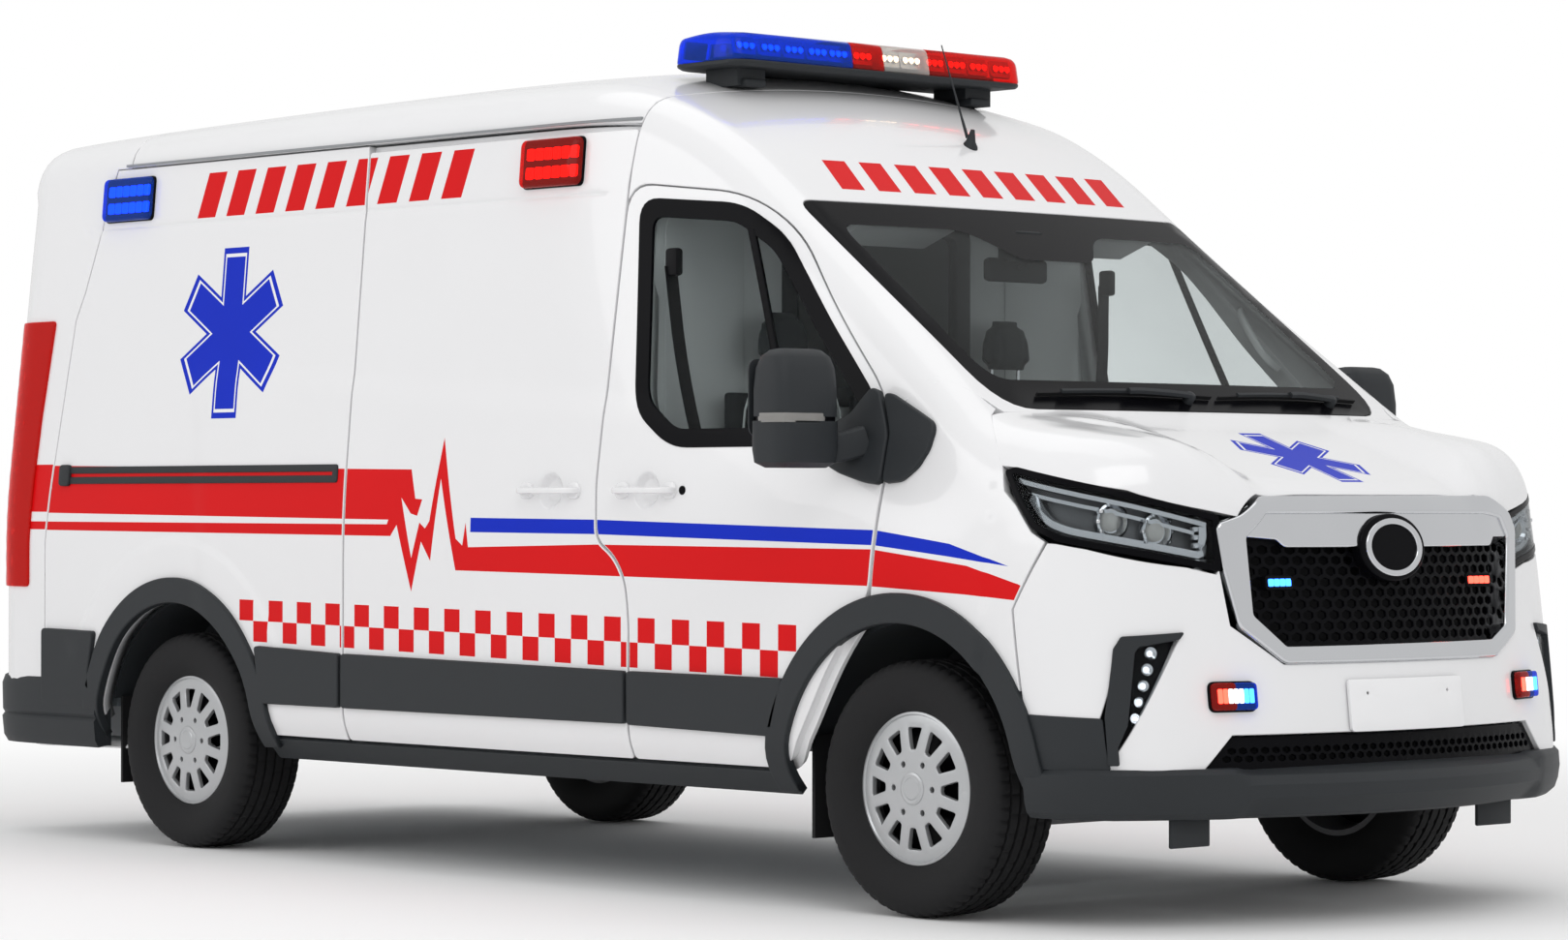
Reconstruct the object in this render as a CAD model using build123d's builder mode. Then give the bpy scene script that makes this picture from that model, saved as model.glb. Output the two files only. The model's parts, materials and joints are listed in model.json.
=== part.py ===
"""Mid-roof van ambulance: body, doors, bonnet, wheels, cab interior and warning lamps.

Frame: +X forwards, +Y to the vehicle's left, +Z up; the origin is on the ground below
the middle of the overall length. Lengths are in millimetres.
"""
from build123d import *
import os
from math import atan2, cos, radians, sin, sqrt

os.makedirs("parts", exist_ok=True)

# ---- driving dimensions -------------------------------------------------------------
overall_length = 5546
wheelbase = 3366
front_overhang = 1017
half_width = 1012            # body side at the waist
trim_proud = 19              # plastic cladding and arch trims stand this far out
track = 1730
body_bottom = 300
sill_top = 378
floor_bottom = 440
floor_thickness = 30
waist_z = 1080               # the side leans inwards above this height
side_lean = 0.086            # inward lean of the load-space side, mm per mm
cab_lean = 0.302             # the same at the foot of the windscreen
gutter_z = 2229
roof_crown = 83              # rise of the roof from its edge to the middle
wall = 60                    # side walls, roof and pillars
door_wall = 70               # hinged and sliding doors
skin = 6                     # glass
shut_gap = 8                 # between a moving panel and its frame
seat_gap = 0.3               # between a fixed piece and what carries it
running_clearance = 0.05     # hub on its spindle

tyre_radius = 348
tyre_width = 235
rim_radius = 205
spindle_radius = 30
arch_radius = 450            # body opening round the wheel
arch_trim_radius = 530
steer_offset = 65            # steering axis inboard of the wheel's centre plane

front_x = overall_length / 2
rear_x = -overall_length / 2
front_axle_x = front_x - front_overhang
rear_axle_x = front_axle_x - wheelbase
wheel_y = track / 2
face_x = rear_x + 75         # outer skin of the rear doors
nose_x = front_x - 115       # front skin at the number plate
nose_z = 704
nose_lean = 0.11             # the nose leans back, mm per mm of height
nose_arc = 2200
nose_corner = 450
rear_corner = 150
grille_top_z = 1131
cowl_x = front_axle_x + 235                # foot of the windscreen, on the centre line
cowl_z = 1355
screen_top_x = front_axle_x - 636
screen_top_z = 1990
roof_front_x = front_axle_x - 956
roof_front_z = 2245
screen_crown = 46            # how far the windscreen's sides lie behind its middle
screen_rake = atan2(roof_front_z - cowl_z, cowl_x - roof_front_x)
door_front_x = front_axle_x - 93
door_rear_x = front_axle_x - 1266
slide_rear_x = front_axle_x - 2464
side_front_x = front_axle_x - 1208           # seam of side and cab, at the roof

# ---- body form ----------------------------------------------------------------------
# columns: x, roof height on the centre line, lean of the side
cabin_stations = (
    (face_x - 40, 2385, side_lean),
    (face_x + 612, 2425, side_lean),
    (front_axle_x - 2308, 2446, side_lean),
    (front_axle_x - 1356, 2440, side_lean),
    (cowl_x + 9, 2440, cab_lean),
)
# columns: x, height of the bonnet, radius of its shoulder
bonnet_stations = (
    (front_axle_x - 356, 1400, 100),
    (front_axle_x - 44, 1395, 120),
    (front_x - 707, 1357, 240),
    (front_x - 373, 1306, 330),
    (front_x, 1225, 380),
)
wing_z = 850                 # the front wings lean inwards above this height
front_lean = 0.13
profile_stations = (-half_width - 40, -680, -340, 0, 340, 680, half_width + 40)


def cabin_section(x, roof_z, lean, inset):
    """Cross-section of the cabin at x, moved inwards by inset."""
    side_y = half_width - inset
    edge_z = gutter_z - inset
    edge_y = side_y - lean * (edge_z - waist_z)
    top_z = roof_z - inset
    bottom_z = body_bottom - 10 - 4 * inset
    with BuildSketch(Plane.YZ.offset(x)) as section:
        with BuildLine():
            Polyline((0, bottom_z), (side_y - 80, bottom_z), (side_y - 80, body_bottom), (side_y, 480),
                     (side_y, waist_z), (edge_y, edge_z))
            ThreePointArc((edge_y, edge_z), (edge_y - 28, top_z - 126),
                          (edge_y - 95, top_z - roof_crown))
            ThreePointArc((edge_y - 95, top_z - roof_crown),
                          ((edge_y - 95) / 2, top_z - roof_crown / 4), (0, top_z))
            mirror(about=Plane.YZ)
        make_face()
    return section


def bonnet_section(x, bonnet_z, shoulder, inset):
    """Cross-section of the front end at x, moved inwards by inset."""
    side_y = half_width - inset
    top_z = bonnet_z - inset
    bottom_z = body_bottom - 10 - 4 * inset
    top_y = side_y - front_lean * (top_z - wing_z)
    with BuildSketch(Plane.YZ.offset(x)) as section:
        with BuildLine():
            Polyline((0, bottom_z), (side_y - 80, bottom_z), (side_y - 80, body_bottom), (side_y, 480),
                     (side_y, wing_z), (top_y, top_z), (0, top_z + 8))
            mirror(about=Plane.YZ)
        make_face()
        fillet(section.vertices().group_by(Axis.Y)[-2], shoulder - inset)
    return section


def profile_section(y, inset):
    """Side profile of the whole body at y, moved inwards by inset."""
    nose = nose_arc - sqrt(nose_arc ** 2 - y ** 2) + inset
    screen = screen_crown * (y / 800) ** 2 + inset / sin(screen_rake)
    back_x = face_x + inset
    roof_z = 2600 - inset
    bonnet_end = front_x - 373 - nose
    bonnet_drop = inset * 0.6
    with BuildSketch(Plane.XZ.offset(-y)) as section:
        with BuildLine():
            Polyline((back_x + 55, roof_z), (back_x, waist_z), (back_x, -300), (front_x + 40 - nose, -300),
                     (front_x + 40 - nose, nose_z), (front_x - 123 - nose, grille_top_z))
            ThreePointArc((front_x - 123 - nose, grille_top_z), (front_x - 213 - nose, 1228 - bonnet_drop),
                          (bonnet_end, 1325 - bonnet_drop))
            Polyline((bonnet_end, 1325 - bonnet_drop), (cowl_x - screen, cowl_z + 10),
                     (roof_front_x - screen, roof_front_z))
            ThreePointArc((roof_front_x - screen, roof_front_z),
                          (roof_front_x - screen - 230, 2385), (roof_front_x - screen - 560, roof_z))
            Line((roof_front_x - screen - 560, roof_z), (back_x + 55, roof_z))
        make_face()
    return section


def plan_section(inset):
    """Plan outline of the body at the number plate's height."""
    side_y = half_width - inset
    front_x = nose_x - inset
    arc = nose_arc - inset
    corner = nose_corner - inset
    corner_y = side_y - corner
    corner_x = front_x - arc + sqrt((arc - corner) ** 2 - corner_y ** 2)
    reach = arc / (arc - corner)
    tangent = (front_x - arc + (corner_x - front_x + arc) * reach, corner_y * reach)
    halfway = (corner_x + corner * cos(radians(55)), corner_y + corner * sin(radians(55)))
    with BuildSketch(Plane.XY.offset(nose_z)) as section:
        with BuildLine():
            ThreePointArc((front_x, 0), (front_x - arc + arc * cos(radians(9)), arc * sin(radians(9))),
                          tangent)
            ThreePointArc(tangent, halfway, (corner_x, side_y))
            Line((corner_x, side_y), (face_x - 400, side_y + 20))
            Line((face_x - 400, side_y + 20), (face_x - 400, 0))
            mirror(about=Plane.XZ)
        make_face()
    return section


def body_form(inset):
    """The closed outer form of the body, moved inwards by inset."""
    cabin_sections = [cabin_section(x, roof_z, lean, inset) for x, roof_z, lean in cabin_stations]
    bonnet_sections = [bonnet_section(x, top_z, r, inset) for x, top_z, r in bonnet_stations]
    profile_sections = [profile_section(y, inset) for y in profile_stations]
    with BuildPart() as form:
        loft([section.sketch for section in cabin_sections], ruled=True)
    cabin = form.part
    with BuildPart() as form:
        loft([section.sketch for section in bonnet_sections], ruled=True)
    bonnet = form.part
    with BuildPart() as form:
        loft([section.sketch for section in profile_sections], ruled=True)
    profile = form.part
    plan = plan_section(inset)
    with BuildPart() as form:
        extrude(plan.sketch, amount=2600, dir=(-nose_lean, 0, 1))
        extrude(plan.sketch, amount=nose_z + 300, dir=(nose_lean, 0, -1))
    outline = form.part
    back_x = face_x + inset
    with BuildPart() as form:
        add(cabin)
        add(bonnet)
        add(profile, mode=Mode.INTERSECT)
        add(outline, mode=Mode.INTERSECT)
        with BuildSketch(Plane.XY.offset(-300)) as footprint:
            with Locations(((back_x + front_x + 200) / 2, 0)):
                Rectangle(front_x + 200 - back_x, 2 * (half_width + 20 - inset))
            fillet(footprint.vertices().group_by(Axis.X)[0], rear_corner - inset)
        extrude(amount=3200, mode=Mode.INTERSECT)
    return form.part


outer = body_form(0)
inner = body_form(wall)
door_inner = body_form(door_wall)
glass_inner = body_form(skin)


reach = half_width + 100     # past the side of the body
side_inner = 720             # side pieces lie outboard of this


def side_region(outline, gap=0, start=side_inner):
    """A side-view outline, grown by gap, from start out past the right-hand side."""
    with BuildPart() as region:
        with BuildSketch(Plane.XZ.offset(start)):
            with BuildLine():
                Polyline(*outline, close=True)
            make_face()
            if gap:
                offset(amount=gap, kind=Kind.INTERSECTION)
        extrude(amount=reach - start)
    return region.part


def front_region(outline, gap=0, start=0, length=front_x):
    """A front-view outline, (y, z), grown by gap, from x = start forwards."""
    with BuildPart() as region:
        with BuildSketch(Plane.YZ.offset(start)):
            with BuildLine():
                Polyline(*outline, close=True)
            make_face()
            if gap:
                offset(amount=gap, kind=Kind.INTERSECTION)
        extrude(amount=length)
    return region.part


def box_region(low, high):
    """A plain box between two corners."""
    with BuildPart() as region:
        with Locations(tuple((a + b) / 2 for a, b in zip(low, high))):
            Box(*[b - a for a, b in zip(low, high)])
    return region.part


def wheel_cylinder(axle_x, radius, start=0, stop=reach):
    """A right-hand cylinder on an axle, from start to stop outboard."""
    with BuildPart() as cut:
        with BuildSketch(Plane.XZ.offset(start)):
            with Locations((axle_x, tyre_radius)):
                Circle(radius)
        extrude(amount=stop - start)
    return cut.part


def combined(base, *others, keep=None):
    """Base cut by the others and, if keep is given, limited to it."""
    with BuildPart() as piece:
        add(base)
        if keep is not None:
            add(keep, mode=Mode.INTERSECT)
        for other in others:
            add(other, mode=Mode.SUBTRACT)
    return piece.part


def left_of(part):
    """The mirror image of a right-hand piece."""
    with BuildPart() as other:
        add(part)
        mirror(about=Plane.XZ, mode=Mode.REPLACE)
    return other.part


def gap_block(outline, low, high):
    """A hinge leaf or runner that fills an outline's shut gap inside a box."""
    return combined(side_region(outline, half), side_region(outline, seat_gap - half),
                    keep=box_region(low, high))


wall_shell = combined(outer, inner)
door_shell = combined(outer, door_inner)
glass_shell = combined(outer, glass_inner)
half = shut_gap / 2
leaf_inner_y = half_width - 60   # hinge leaves and runners span this far in the shut gaps
leaf_outer_y = half_width - 20

# ---- side outlines, (x, z) ------------------------------------------------------------
door_seam = [(door_rear_x + 155, sill_top), (door_rear_x + 155, 786), (door_rear_x + 138, 896),
             (door_rear_x + 90, 964), (door_rear_x + 10, 1010), (door_rear_x, 1169),
             (door_rear_x + 35, 2050)]
door_outline = door_seam + [
    (front_axle_x - 772, 2000), (front_axle_x - 566, 1880), (front_axle_x - 351, 1625),
    (front_axle_x - 156, 1430), (door_front_x, 1300),
    (door_front_x, 1169), (door_front_x - 20, 857), (front_axle_x - 256, 700),
    (front_axle_x - 446, sill_top),
]
door_window = [(front_axle_x - 1106, 1400), (front_axle_x - 956, 1300), (front_axle_x - 196, 1300),
               (front_axle_x - 196, 1390), (front_axle_x - 406, 1600), (front_axle_x - 626, 1850),
               (front_axle_x - 796, 1945), (front_axle_x - 1156, 1975)]
slide_outline = [(slide_rear_x, sill_top)] + door_seam + [
    (side_front_x, gutter_z - 20), (slide_rear_x, gutter_z - 20),
]
rear_seam = [(face_x + 322, body_bottom - 10), (face_x + 322, 986), (face_x + 423, 1729),
             (face_x + 468, 1824), (face_x + 610, gutter_z)]
quarter_outline = [(slide_rear_x, body_bottom - 10), (slide_rear_x, gutter_z)] + rear_seam[::-1]
front_arch = wheel_cylinder(front_axle_x, arch_radius)
rear_arch = wheel_cylinder(rear_axle_x, arch_radius)
front_trim_hole = wheel_cylinder(front_axle_x, arch_trim_radius + shut_gap)

# ---- front doors ------------------------------------------------------------------------
window_hole = side_region(door_window)
door_right = combined(door_shell, window_hole, front_trim_hole, keep=side_region(door_outline, -half))
pane_right = combined(glass_shell, keep=side_region(door_window, -seat_gap))
door_hole = side_region(door_outline, half)

with BuildPart() as front_door_right:
    add(door_right)
front_door_right.part.label = "front_door_right"
export_step(front_door_right.part, "parts/front_door_right.step")

with BuildPart() as front_door_left:
    add(left_of(door_right))
front_door_left.part.label = "front_door_left"
export_step(front_door_left.part, "parts/front_door_left.step")

with BuildPart() as door_glass_right:
    add(pane_right)
door_glass_right.part.label = "door_glass_right"
export_step(door_glass_right.part, "parts/door_glass_right.step")

with BuildPart() as door_glass_left:
    add(left_of(pane_right))
door_glass_left.part.label = "door_glass_left"
export_step(door_glass_left.part, "parts/door_glass_left.step")

# ---- load-space sides ---------------------------------------------------------------------
with BuildPart() as sliding_door:
    add(combined(wall_shell, keep=side_region(slide_outline, -half)))
sliding_door.part.label = "sliding_door"
export_step(sliding_door.part, "parts/sliding_door.step")

with BuildPart() as mid_panel_left:
    add(left_of(combined(wall_shell, keep=side_region(slide_outline, -half))))
mid_panel_left.part.label = "mid_panel_left"
export_step(mid_panel_left.part, "parts/mid_panel_left.step")

quarter_right = combined(wall_shell, rear_arch, keep=side_region(quarter_outline))
sill_strip = combined(wall_shell, front_trim_hole,
                      keep=side_region([(slide_rear_x, body_bottom - 10),
                                        (front_axle_x - 356, body_bottom - 10),
                                        (front_axle_x - 356, sill_top - half),
                                        (slide_rear_x, sill_top - half)]))
cant_rail = combined(wall_shell, door_hole,
                     keep=side_region([(slide_rear_x, gutter_z - 20 + half), (slide_rear_x, gutter_z),
                                       (side_front_x, gutter_z), (side_front_x, gutter_z - 20 + half)]))
runner_places = (front_axle_x - 2316, front_axle_x - 1596)
with BuildPart() as quarter_panels:
    add(quarter_right)
    add(sill_strip)
    add(cant_rail)
    for x in runner_places:
        add(gap_block(slide_outline, (x - 60, -leaf_outer_y, sill_top - 30),
                      (x + 60, -leaf_inner_y, sill_top + 30)))
    mirror(about=Plane.XZ)
quarter_panels.part.label = "quarter_panels"
export_step(quarter_panels.part, "parts/quarter_panels.step")

# ---- roof ------------------------------------------------------------------------------------
rear_opening_top = 2230
rear_opening_bottom = 500
rear_opening_y = 850
rear_depth = face_x - rear_x + door_wall + 55
with BuildPart() as roof:
    add(wall_shell)
    add(box_region((face_x + 58, -reach, gutter_z), (side_front_x, reach, 2600)), mode=Mode.INTERSECT)
roof.part.label = "roof"
export_step(roof.part, "parts/roof.step")

# ---- tail lamps
tail_lamp_depth = 30
lamp_back = body_form(tail_lamp_depth)
with BuildPart() as tail_lamps:
    add(outer)
    add(lamp_back, mode=Mode.SUBTRACT)
    add(box_region((rear_x, -reach, 950), (face_x + 110, -870, 1660)), mode=Mode.INTERSECT)
    mirror(about=Plane.XZ)
tail_lamps.part.label = "tail_lamps"
export_step(tail_lamps.part, "parts/tail_lamps.step")

# ---- rear frame and rear doors --------------------------------------------------------------
rear_hole = front_region([(-rear_opening_y, rear_opening_bottom), (rear_opening_y, rear_opening_bottom),
                          (rear_opening_y, rear_opening_top), (-rear_opening_y, rear_opening_top)],
                         half, rear_x, rear_depth)
corner_box = side_region([(face_x + 322, body_bottom - 10), (face_x + 322, 986), (face_x + 423, 1729),
                          (face_x + 468, 1824),
                          (face_x + 610, gutter_z), (rear_x - 127, gutter_z),
                          (rear_x - 127, body_bottom - 10)], 0, 0)
top_box = box_region((rear_x - 127, -reach, gutter_z), (face_x + 58, reach, 2600))
with BuildPart() as rear_frame:
    add(combined(wall_shell, rear_hole, keep=corner_box))
    mirror(about=Plane.XZ)
    add(combined(wall_shell, rear_hole, keep=top_box))
    add(tail_lamps.part, mode=Mode.SUBTRACT)
rear_frame.part.label = "rear_frame"
export_step(rear_frame.part, "parts/rear_frame.step")

rear_glass_outline = [(-760, 1380), (-110, 1380), (-110, 2080), (-760, 2080)]
rear_door_outline = [(-rear_opening_y, rear_opening_bottom), (0, rear_opening_bottom),
                     (0, rear_opening_top), (-rear_opening_y, rear_opening_top)]
rear_door_r = combined(door_shell, front_region(rear_glass_outline, 0, rear_x, rear_depth),
                       keep=front_region(rear_door_outline, -half, rear_x, rear_depth))
rear_pane_r = combined(glass_shell, keep=front_region(rear_glass_outline, -seat_gap, rear_x, rear_depth))
with BuildPart() as rear_door_right:
    add(rear_door_r)
rear_door_right.part.label = "rear_door_right"
export_step(rear_door_right.part, "parts/rear_door_right.step")

with BuildPart() as rear_door_left:
    add(left_of(rear_door_r))
rear_door_left.part.label = "rear_door_left"
export_step(rear_door_left.part, "parts/rear_door_left.step")

with BuildPart() as rear_glass_right:
    add(rear_pane_r)
rear_glass_right.part.label = "rear_glass_right"
export_step(rear_glass_right.part, "parts/rear_glass_right.step")

with BuildPart() as rear_glass_left:
    add(left_of(rear_pane_r))
rear_glass_left.part.label = "rear_glass_left"
export_step(rear_glass_left.part, "parts/rear_glass_left.step")

# ---- cab frame: pillars, header and cowl ----------------------------------------------------
screen_outline = [(-800, 1385), (800, 1385), (780, 1975), (-780, 1975)]
screen_hole = front_region(screen_outline, 0, front_axle_x - 856, 1300)
bonnet_rear_x = cowl_x - 25
cab_zone = side_region([(door_rear_x + 155 + half, sill_top + half), (door_rear_x + 155 + half, 1000),
                        (door_rear_x + 40, 1100), (side_front_x + 1, 2100), (side_front_x + 1, 2600),
                        (bonnet_rear_x, 2600), (bonnet_rear_x, 1300), (door_front_x + half, 1300),
                        (door_front_x + half, 1169), (front_axle_x - 356, 700),
                        (front_axle_x - 446, sill_top)], 0, 0)
with BuildPart() as cab_frame:
    add(combined(wall_shell, door_hole, screen_hole, front_trim_hole,
                 side_region(slide_outline, half), keep=cab_zone))
    add(box_region((bonnet_rear_x - 5, -700, cowl_z - 4),
                   (bonnet_rear_x + shut_gap - seat_gap, -620, cowl_z + 6)))
    mirror(about=Plane.XZ)
cab_frame.part.label = "cab_frame"
export_step(cab_frame.part, "parts/cab_frame.step")

with BuildPart() as windscreen:
    add(combined(glass_shell, keep=front_region(screen_outline, -seat_gap, front_axle_x - 856, 1300)))
windscreen.part.label = "windscreen"
export_step(windscreen.part, "parts/windscreen.step")

# ---- front wings, bonnet and bumper -----------------------------------------------------------
bonnet_side = [(bonnet_rear_x + shut_gap, 1320), (front_x - 707, 1215), (front_x - 239, 1090),
               (front_x, 1090)]
bonnet_outline = bonnet_side + [(front_x, 1500), (bonnet_rear_x + shut_gap, 1500)]
lamp_outline = [(front_x - 707, 1205), (front_x - 239, 1080), (front_x - 213, 925),
                (front_x - 578, 1020), (front_x - 663, 1110)]
wing_bottom = [(front_axle_x + 462, sill_top - 80), (front_axle_x + 462, 700), (front_x - 513, 990)]
wing_outline = [(door_front_x + half, 1300), (bonnet_rear_x, 1300)] + [
    (bonnet_rear_x + shut_gap, 1320 - shut_gap), (front_x - 707, 1215 - shut_gap), (front_x - 663, 1110),
    (front_x - 578, 1020), (front_axle_x + 462, 900), (front_axle_x + 462, body_bottom - 10),
    (front_axle_x - 256, body_bottom - 10),
    (front_axle_x - 256, 700), (door_front_x - 20 + half, 857), (door_front_x + half, 1169)]
bumper_outline = [(front_axle_x + 462 + half, body_bottom - 10), (front_axle_x + 462 + half, 900),
                  (front_x - 578 + half, 1010), (front_x - 213, 915),
                  (front_x - 213, grille_top_z - 50), (front_x, grille_top_z - 50),
                  (front_x, body_bottom - 10)]
grille_outline = [(-436, 690), (436, 690), (520, 800), (500, 1060), (447, 1131), (-447, 1131),
                  (-500, 1060), (-520, 800)]
grille_hole = front_region(grille_outline, seat_gap, front_x - 573, 600)
bonnet_grille_hole = front_region(grille_outline, shut_gap, front_x - 573, 600)
lower_grille_outline = [(-660, 425), (660, 425), (560, 505), (-560, 505)]
lower_grille_hole = front_region(lower_grille_outline, 0, front_x - 573, 600)
fog_outline = [(-880, 440), (-740, 440), (-740, 770), (-880, 760)]
fog_hole_right = front_region(fog_outline, 0, front_x - 573, 600)
lamp_hole = side_region(lamp_outline, 1, 480)
lip_z = 425
lip_box = box_region((front_x - 673, -reach, 0), (front_x + 100, reach, lip_z))

plate_hole_z = 611
plate_hole_y = 165
plate_hole_radius = 4
with BuildPart() as plate_holes:
    with BuildSketch(Plane.YZ.offset(nose_x - 50)):
        with Locations((-plate_hole_y, plate_hole_z), (plate_hole_y, plate_hole_z)):
            Circle(plate_hole_radius)
    extrude(amount=200)
hinge_places = (905, 1130)
with BuildPart() as fenders:
    add(combined(wall_shell, front_arch, lamp_hole, keep=side_region(wing_outline, 0, 600)))
    for z in hinge_places:
        add(gap_block(door_outline, (door_front_x - 60, -leaf_outer_y, z - 30),
                      (door_front_x + 30, -leaf_inner_y, z + 30)))
    mirror(about=Plane.XZ)
fenders.part.label = "fenders"
export_step(fenders.part, "parts/fenders.step")

with BuildPart() as bonnet:
    add(combined(wall_shell, bonnet_grille_hole, keep=side_region(bonnet_outline, 0, 0)))
    mirror(about=Plane.XZ)
bonnet.part.label = "bonnet"
export_step(bonnet.part, "parts/bonnet.step")

with BuildPart() as headlamps:
    add(combined(wall_shell, grille_hole, keep=side_region(lamp_outline, 0, 480)))
    mirror(about=Plane.XZ)
headlamps.part.label = "headlamps"
export_step(headlamps.part, "parts/headlamps.step")

with BuildPart() as front_bumper:
    add(combined(wall_shell, front_arch, grille_hole, lower_grille_hole, fog_hole_right, lamp_hole, lip_box,
                 keep=side_region(bumper_outline, 0, 0)))
    mirror(about=Plane.XZ)
    add(left_of(lamp_hole), mode=Mode.SUBTRACT)
    add(plate_holes.part, mode=Mode.SUBTRACT)
front_bumper.part.label = "front_bumper"
export_step(front_bumper.part, "parts/front_bumper.step")

# ---- dark lip below the bumper ----------------------------------------------------------------
lip_arc = 1340
lip_corner_y = 900
with BuildPart() as lower_bumper:
    with BuildSketch(Plane.XY.offset(body_bottom - 8)):
        with BuildLine():
            ThreePointArc((front_x - 330, -lip_corner_y - 60), (front_x, 0),
                          (front_x - 330, lip_corner_y + 60))
            Line((front_x - 330, lip_corner_y + 60), (front_axle_x + 462 + half, half_width))
            Line((front_axle_x + 462 + half, half_width), (front_axle_x + 462 + half, half_width - wall))
            ThreePointArc((front_axle_x + 462 + half, half_width - wall), (front_x - 220, 0),
                          (front_axle_x + 462 + half, -half_width + wall))
            Line((front_axle_x + 462 + half, -half_width + wall), (front_axle_x + 462 + half, -half_width))
            Line((front_axle_x + 462 + half, -half_width), (front_x - 330, -lip_corner_y - 60))
        make_face()
    extrude(amount=lip_z - seat_gap - body_bottom + 8)
lower_bumper.part.label = "lower_bumper"
export_step(lower_bumper.part, "parts/lower_bumper.step")

# ---- grilles and fog lamps ----------------------------------------------------------------------
grille_window = front_region(grille_outline, -60, front_x - 573, 600)
mesh_core = body_form(25)
mesh_back = body_form(40)
with BuildPart() as grille_frame:
    add(combined(wall_shell, grille_window, keep=front_region(grille_outline, 0, front_x - 573, 600)))
grille_frame.part.label = "grille_frame"
export_step(grille_frame.part, "parts/grille_frame.step")

with BuildPart() as grille_mesh:
    add(combined(mesh_core, mesh_back, keep=front_region(grille_outline, -60 - seat_gap, front_x - 573,
                                                         600)))
    add(combined(mesh_core, mesh_back, keep=front_region(lower_grille_outline, -seat_gap, front_x - 573,
                                                         600)))
grille_mesh.part.label = "grille_mesh"
export_step(grille_mesh.part, "parts/grille_mesh.step")

with BuildPart() as fog_lamps:
    add(combined(wall_shell, lip_box, keep=front_region(fog_outline, -seat_gap, front_x - 573, 600)))
    mirror(about=Plane.XZ)
fog_lamps.part.label = "fog_lamps"
export_step(fog_lamps.part, "parts/fog_lamps.step")

# ---- number plate -----------------------------------------------------------------------------
plate_half_y = 231
plate_low = 514
plate_high = 640
plate_face_x = nose_x + nose_lean * (nose_z - plate_low) + 6
with BuildPart() as number_plate:
    add(box_region((nose_x - 40, -plate_half_y, plate_low), (plate_face_x, plate_half_y, plate_high)))
    add(outer, mode=Mode.SUBTRACT)
    add(plate_holes.part, mode=Mode.SUBTRACT)
number_plate.part.label = "number_plate"
export_step(number_plate.part, "parts/number_plate.step")

# ---- trims along the sides ------------------------------------------------------------------------
trim_low = 486
trim_high = 640
with BuildPart() as side_trim:
    for axle_x in (front_axle_x, rear_axle_x):
        with BuildSketch(Plane.XZ.offset(half_width + seat_gap)):
            with Locations((axle_x, tyre_radius)):
                Circle(arch_trim_radius)
                Circle(arch_radius, mode=Mode.SUBTRACT)
            with Locations((axle_x, -200)):
                Rectangle(2000, 1000, mode=Mode.SUBTRACT)
        extrude(amount=trim_proud - seat_gap)
    with BuildSketch(Plane.XZ.offset(half_width + seat_gap)):
        with Locations(((rear_axle_x + arch_trim_radius + slide_rear_x) / 2, (trim_low + trim_high) / 2)):
            Rectangle(slide_rear_x - rear_axle_x - arch_trim_radius - 8, trim_high - trim_low)
    extrude(amount=trim_proud - seat_gap)
    mirror(about=Plane.XZ)
side_trim.part.label = "side_trim"
export_step(side_trim.part, "parts/side_trim.step")

# ---- rear bumper and tail lamps ---------------------------------------------------------------------
with BuildPart() as rear_bumper:
    add(box_region((rear_x, -960, 330), (face_x - seat_gap, 960, 490)))
rear_bumper.part.label = "rear_bumper"
export_step(rear_bumper.part, "parts/rear_bumper.step")

# ---- floor and chassis --------------------------------------------------------------------------------
floor_y = half_width - door_wall - 25
well_half = arch_radius + 20
floor_front_x = front_axle_x - well_half
with BuildPart() as floor_pan:
    add(box_region((face_x + wall + 15, -floor_y, floor_bottom), (floor_front_x, floor_y,
                                                                 floor_bottom + floor_thickness)))
    for side in (-1, 1):
        add(box_region((rear_axle_x - well_half, min(side * 680, side * reach), 0),
                       (rear_axle_x + well_half, max(side * 680, side * reach), 900)), mode=Mode.SUBTRACT)
floor_pan.part.label = "floor_pan"
export_step(floor_pan.part, "parts/floor_pan.step")

steer_y = wheel_y - steer_offset
knuckle_low = tyre_radius - 80
arm_z = 250                  # top of the lower arms
rail_y = 430
rail_top = floor_bottom
rail_bottom = 392
cross_places = (face_x + 248, rear_axle_x + 510, front_axle_x - 2056, front_axle_x - 1256,
                front_axle_x - 576, front_x - 473)
with BuildPart() as chassis:
    for side in (-1, 1):
        add(box_region((face_x + 100, side * rail_y - 32, rail_bottom),
                       (front_x - 373, side * rail_y + 32, rail_top)))
    for x in cross_places:
        add(box_region((x - 40, -rail_y, rail_bottom), (x + 40, rail_y, rail_top)))
    add(box_region((front_axle_x - 60, -560, arm_z - 18), (front_axle_x + 60, 560, 300)))
    add(box_region((front_axle_x - 30, -steer_y - 25, arm_z - 18),
                   (front_axle_x + 30, steer_y + 25, arm_z)))
    with Locations((front_axle_x, -steer_y, arm_z), (front_axle_x, steer_y, arm_z)):
        Cylinder(20, knuckle_low - seat_gap - arm_z, align=(Align.CENTER, Align.CENTER, Align.MIN))
    for side in (-1, 1):
        add(box_region((front_axle_x - 40, side * rail_y - 30, 290),
                       (front_axle_x + 40, side * rail_y + 30, rail_bottom + 5)))
chassis.part.label = "chassis"
export_step(chassis.part, "parts/chassis.step")

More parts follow.
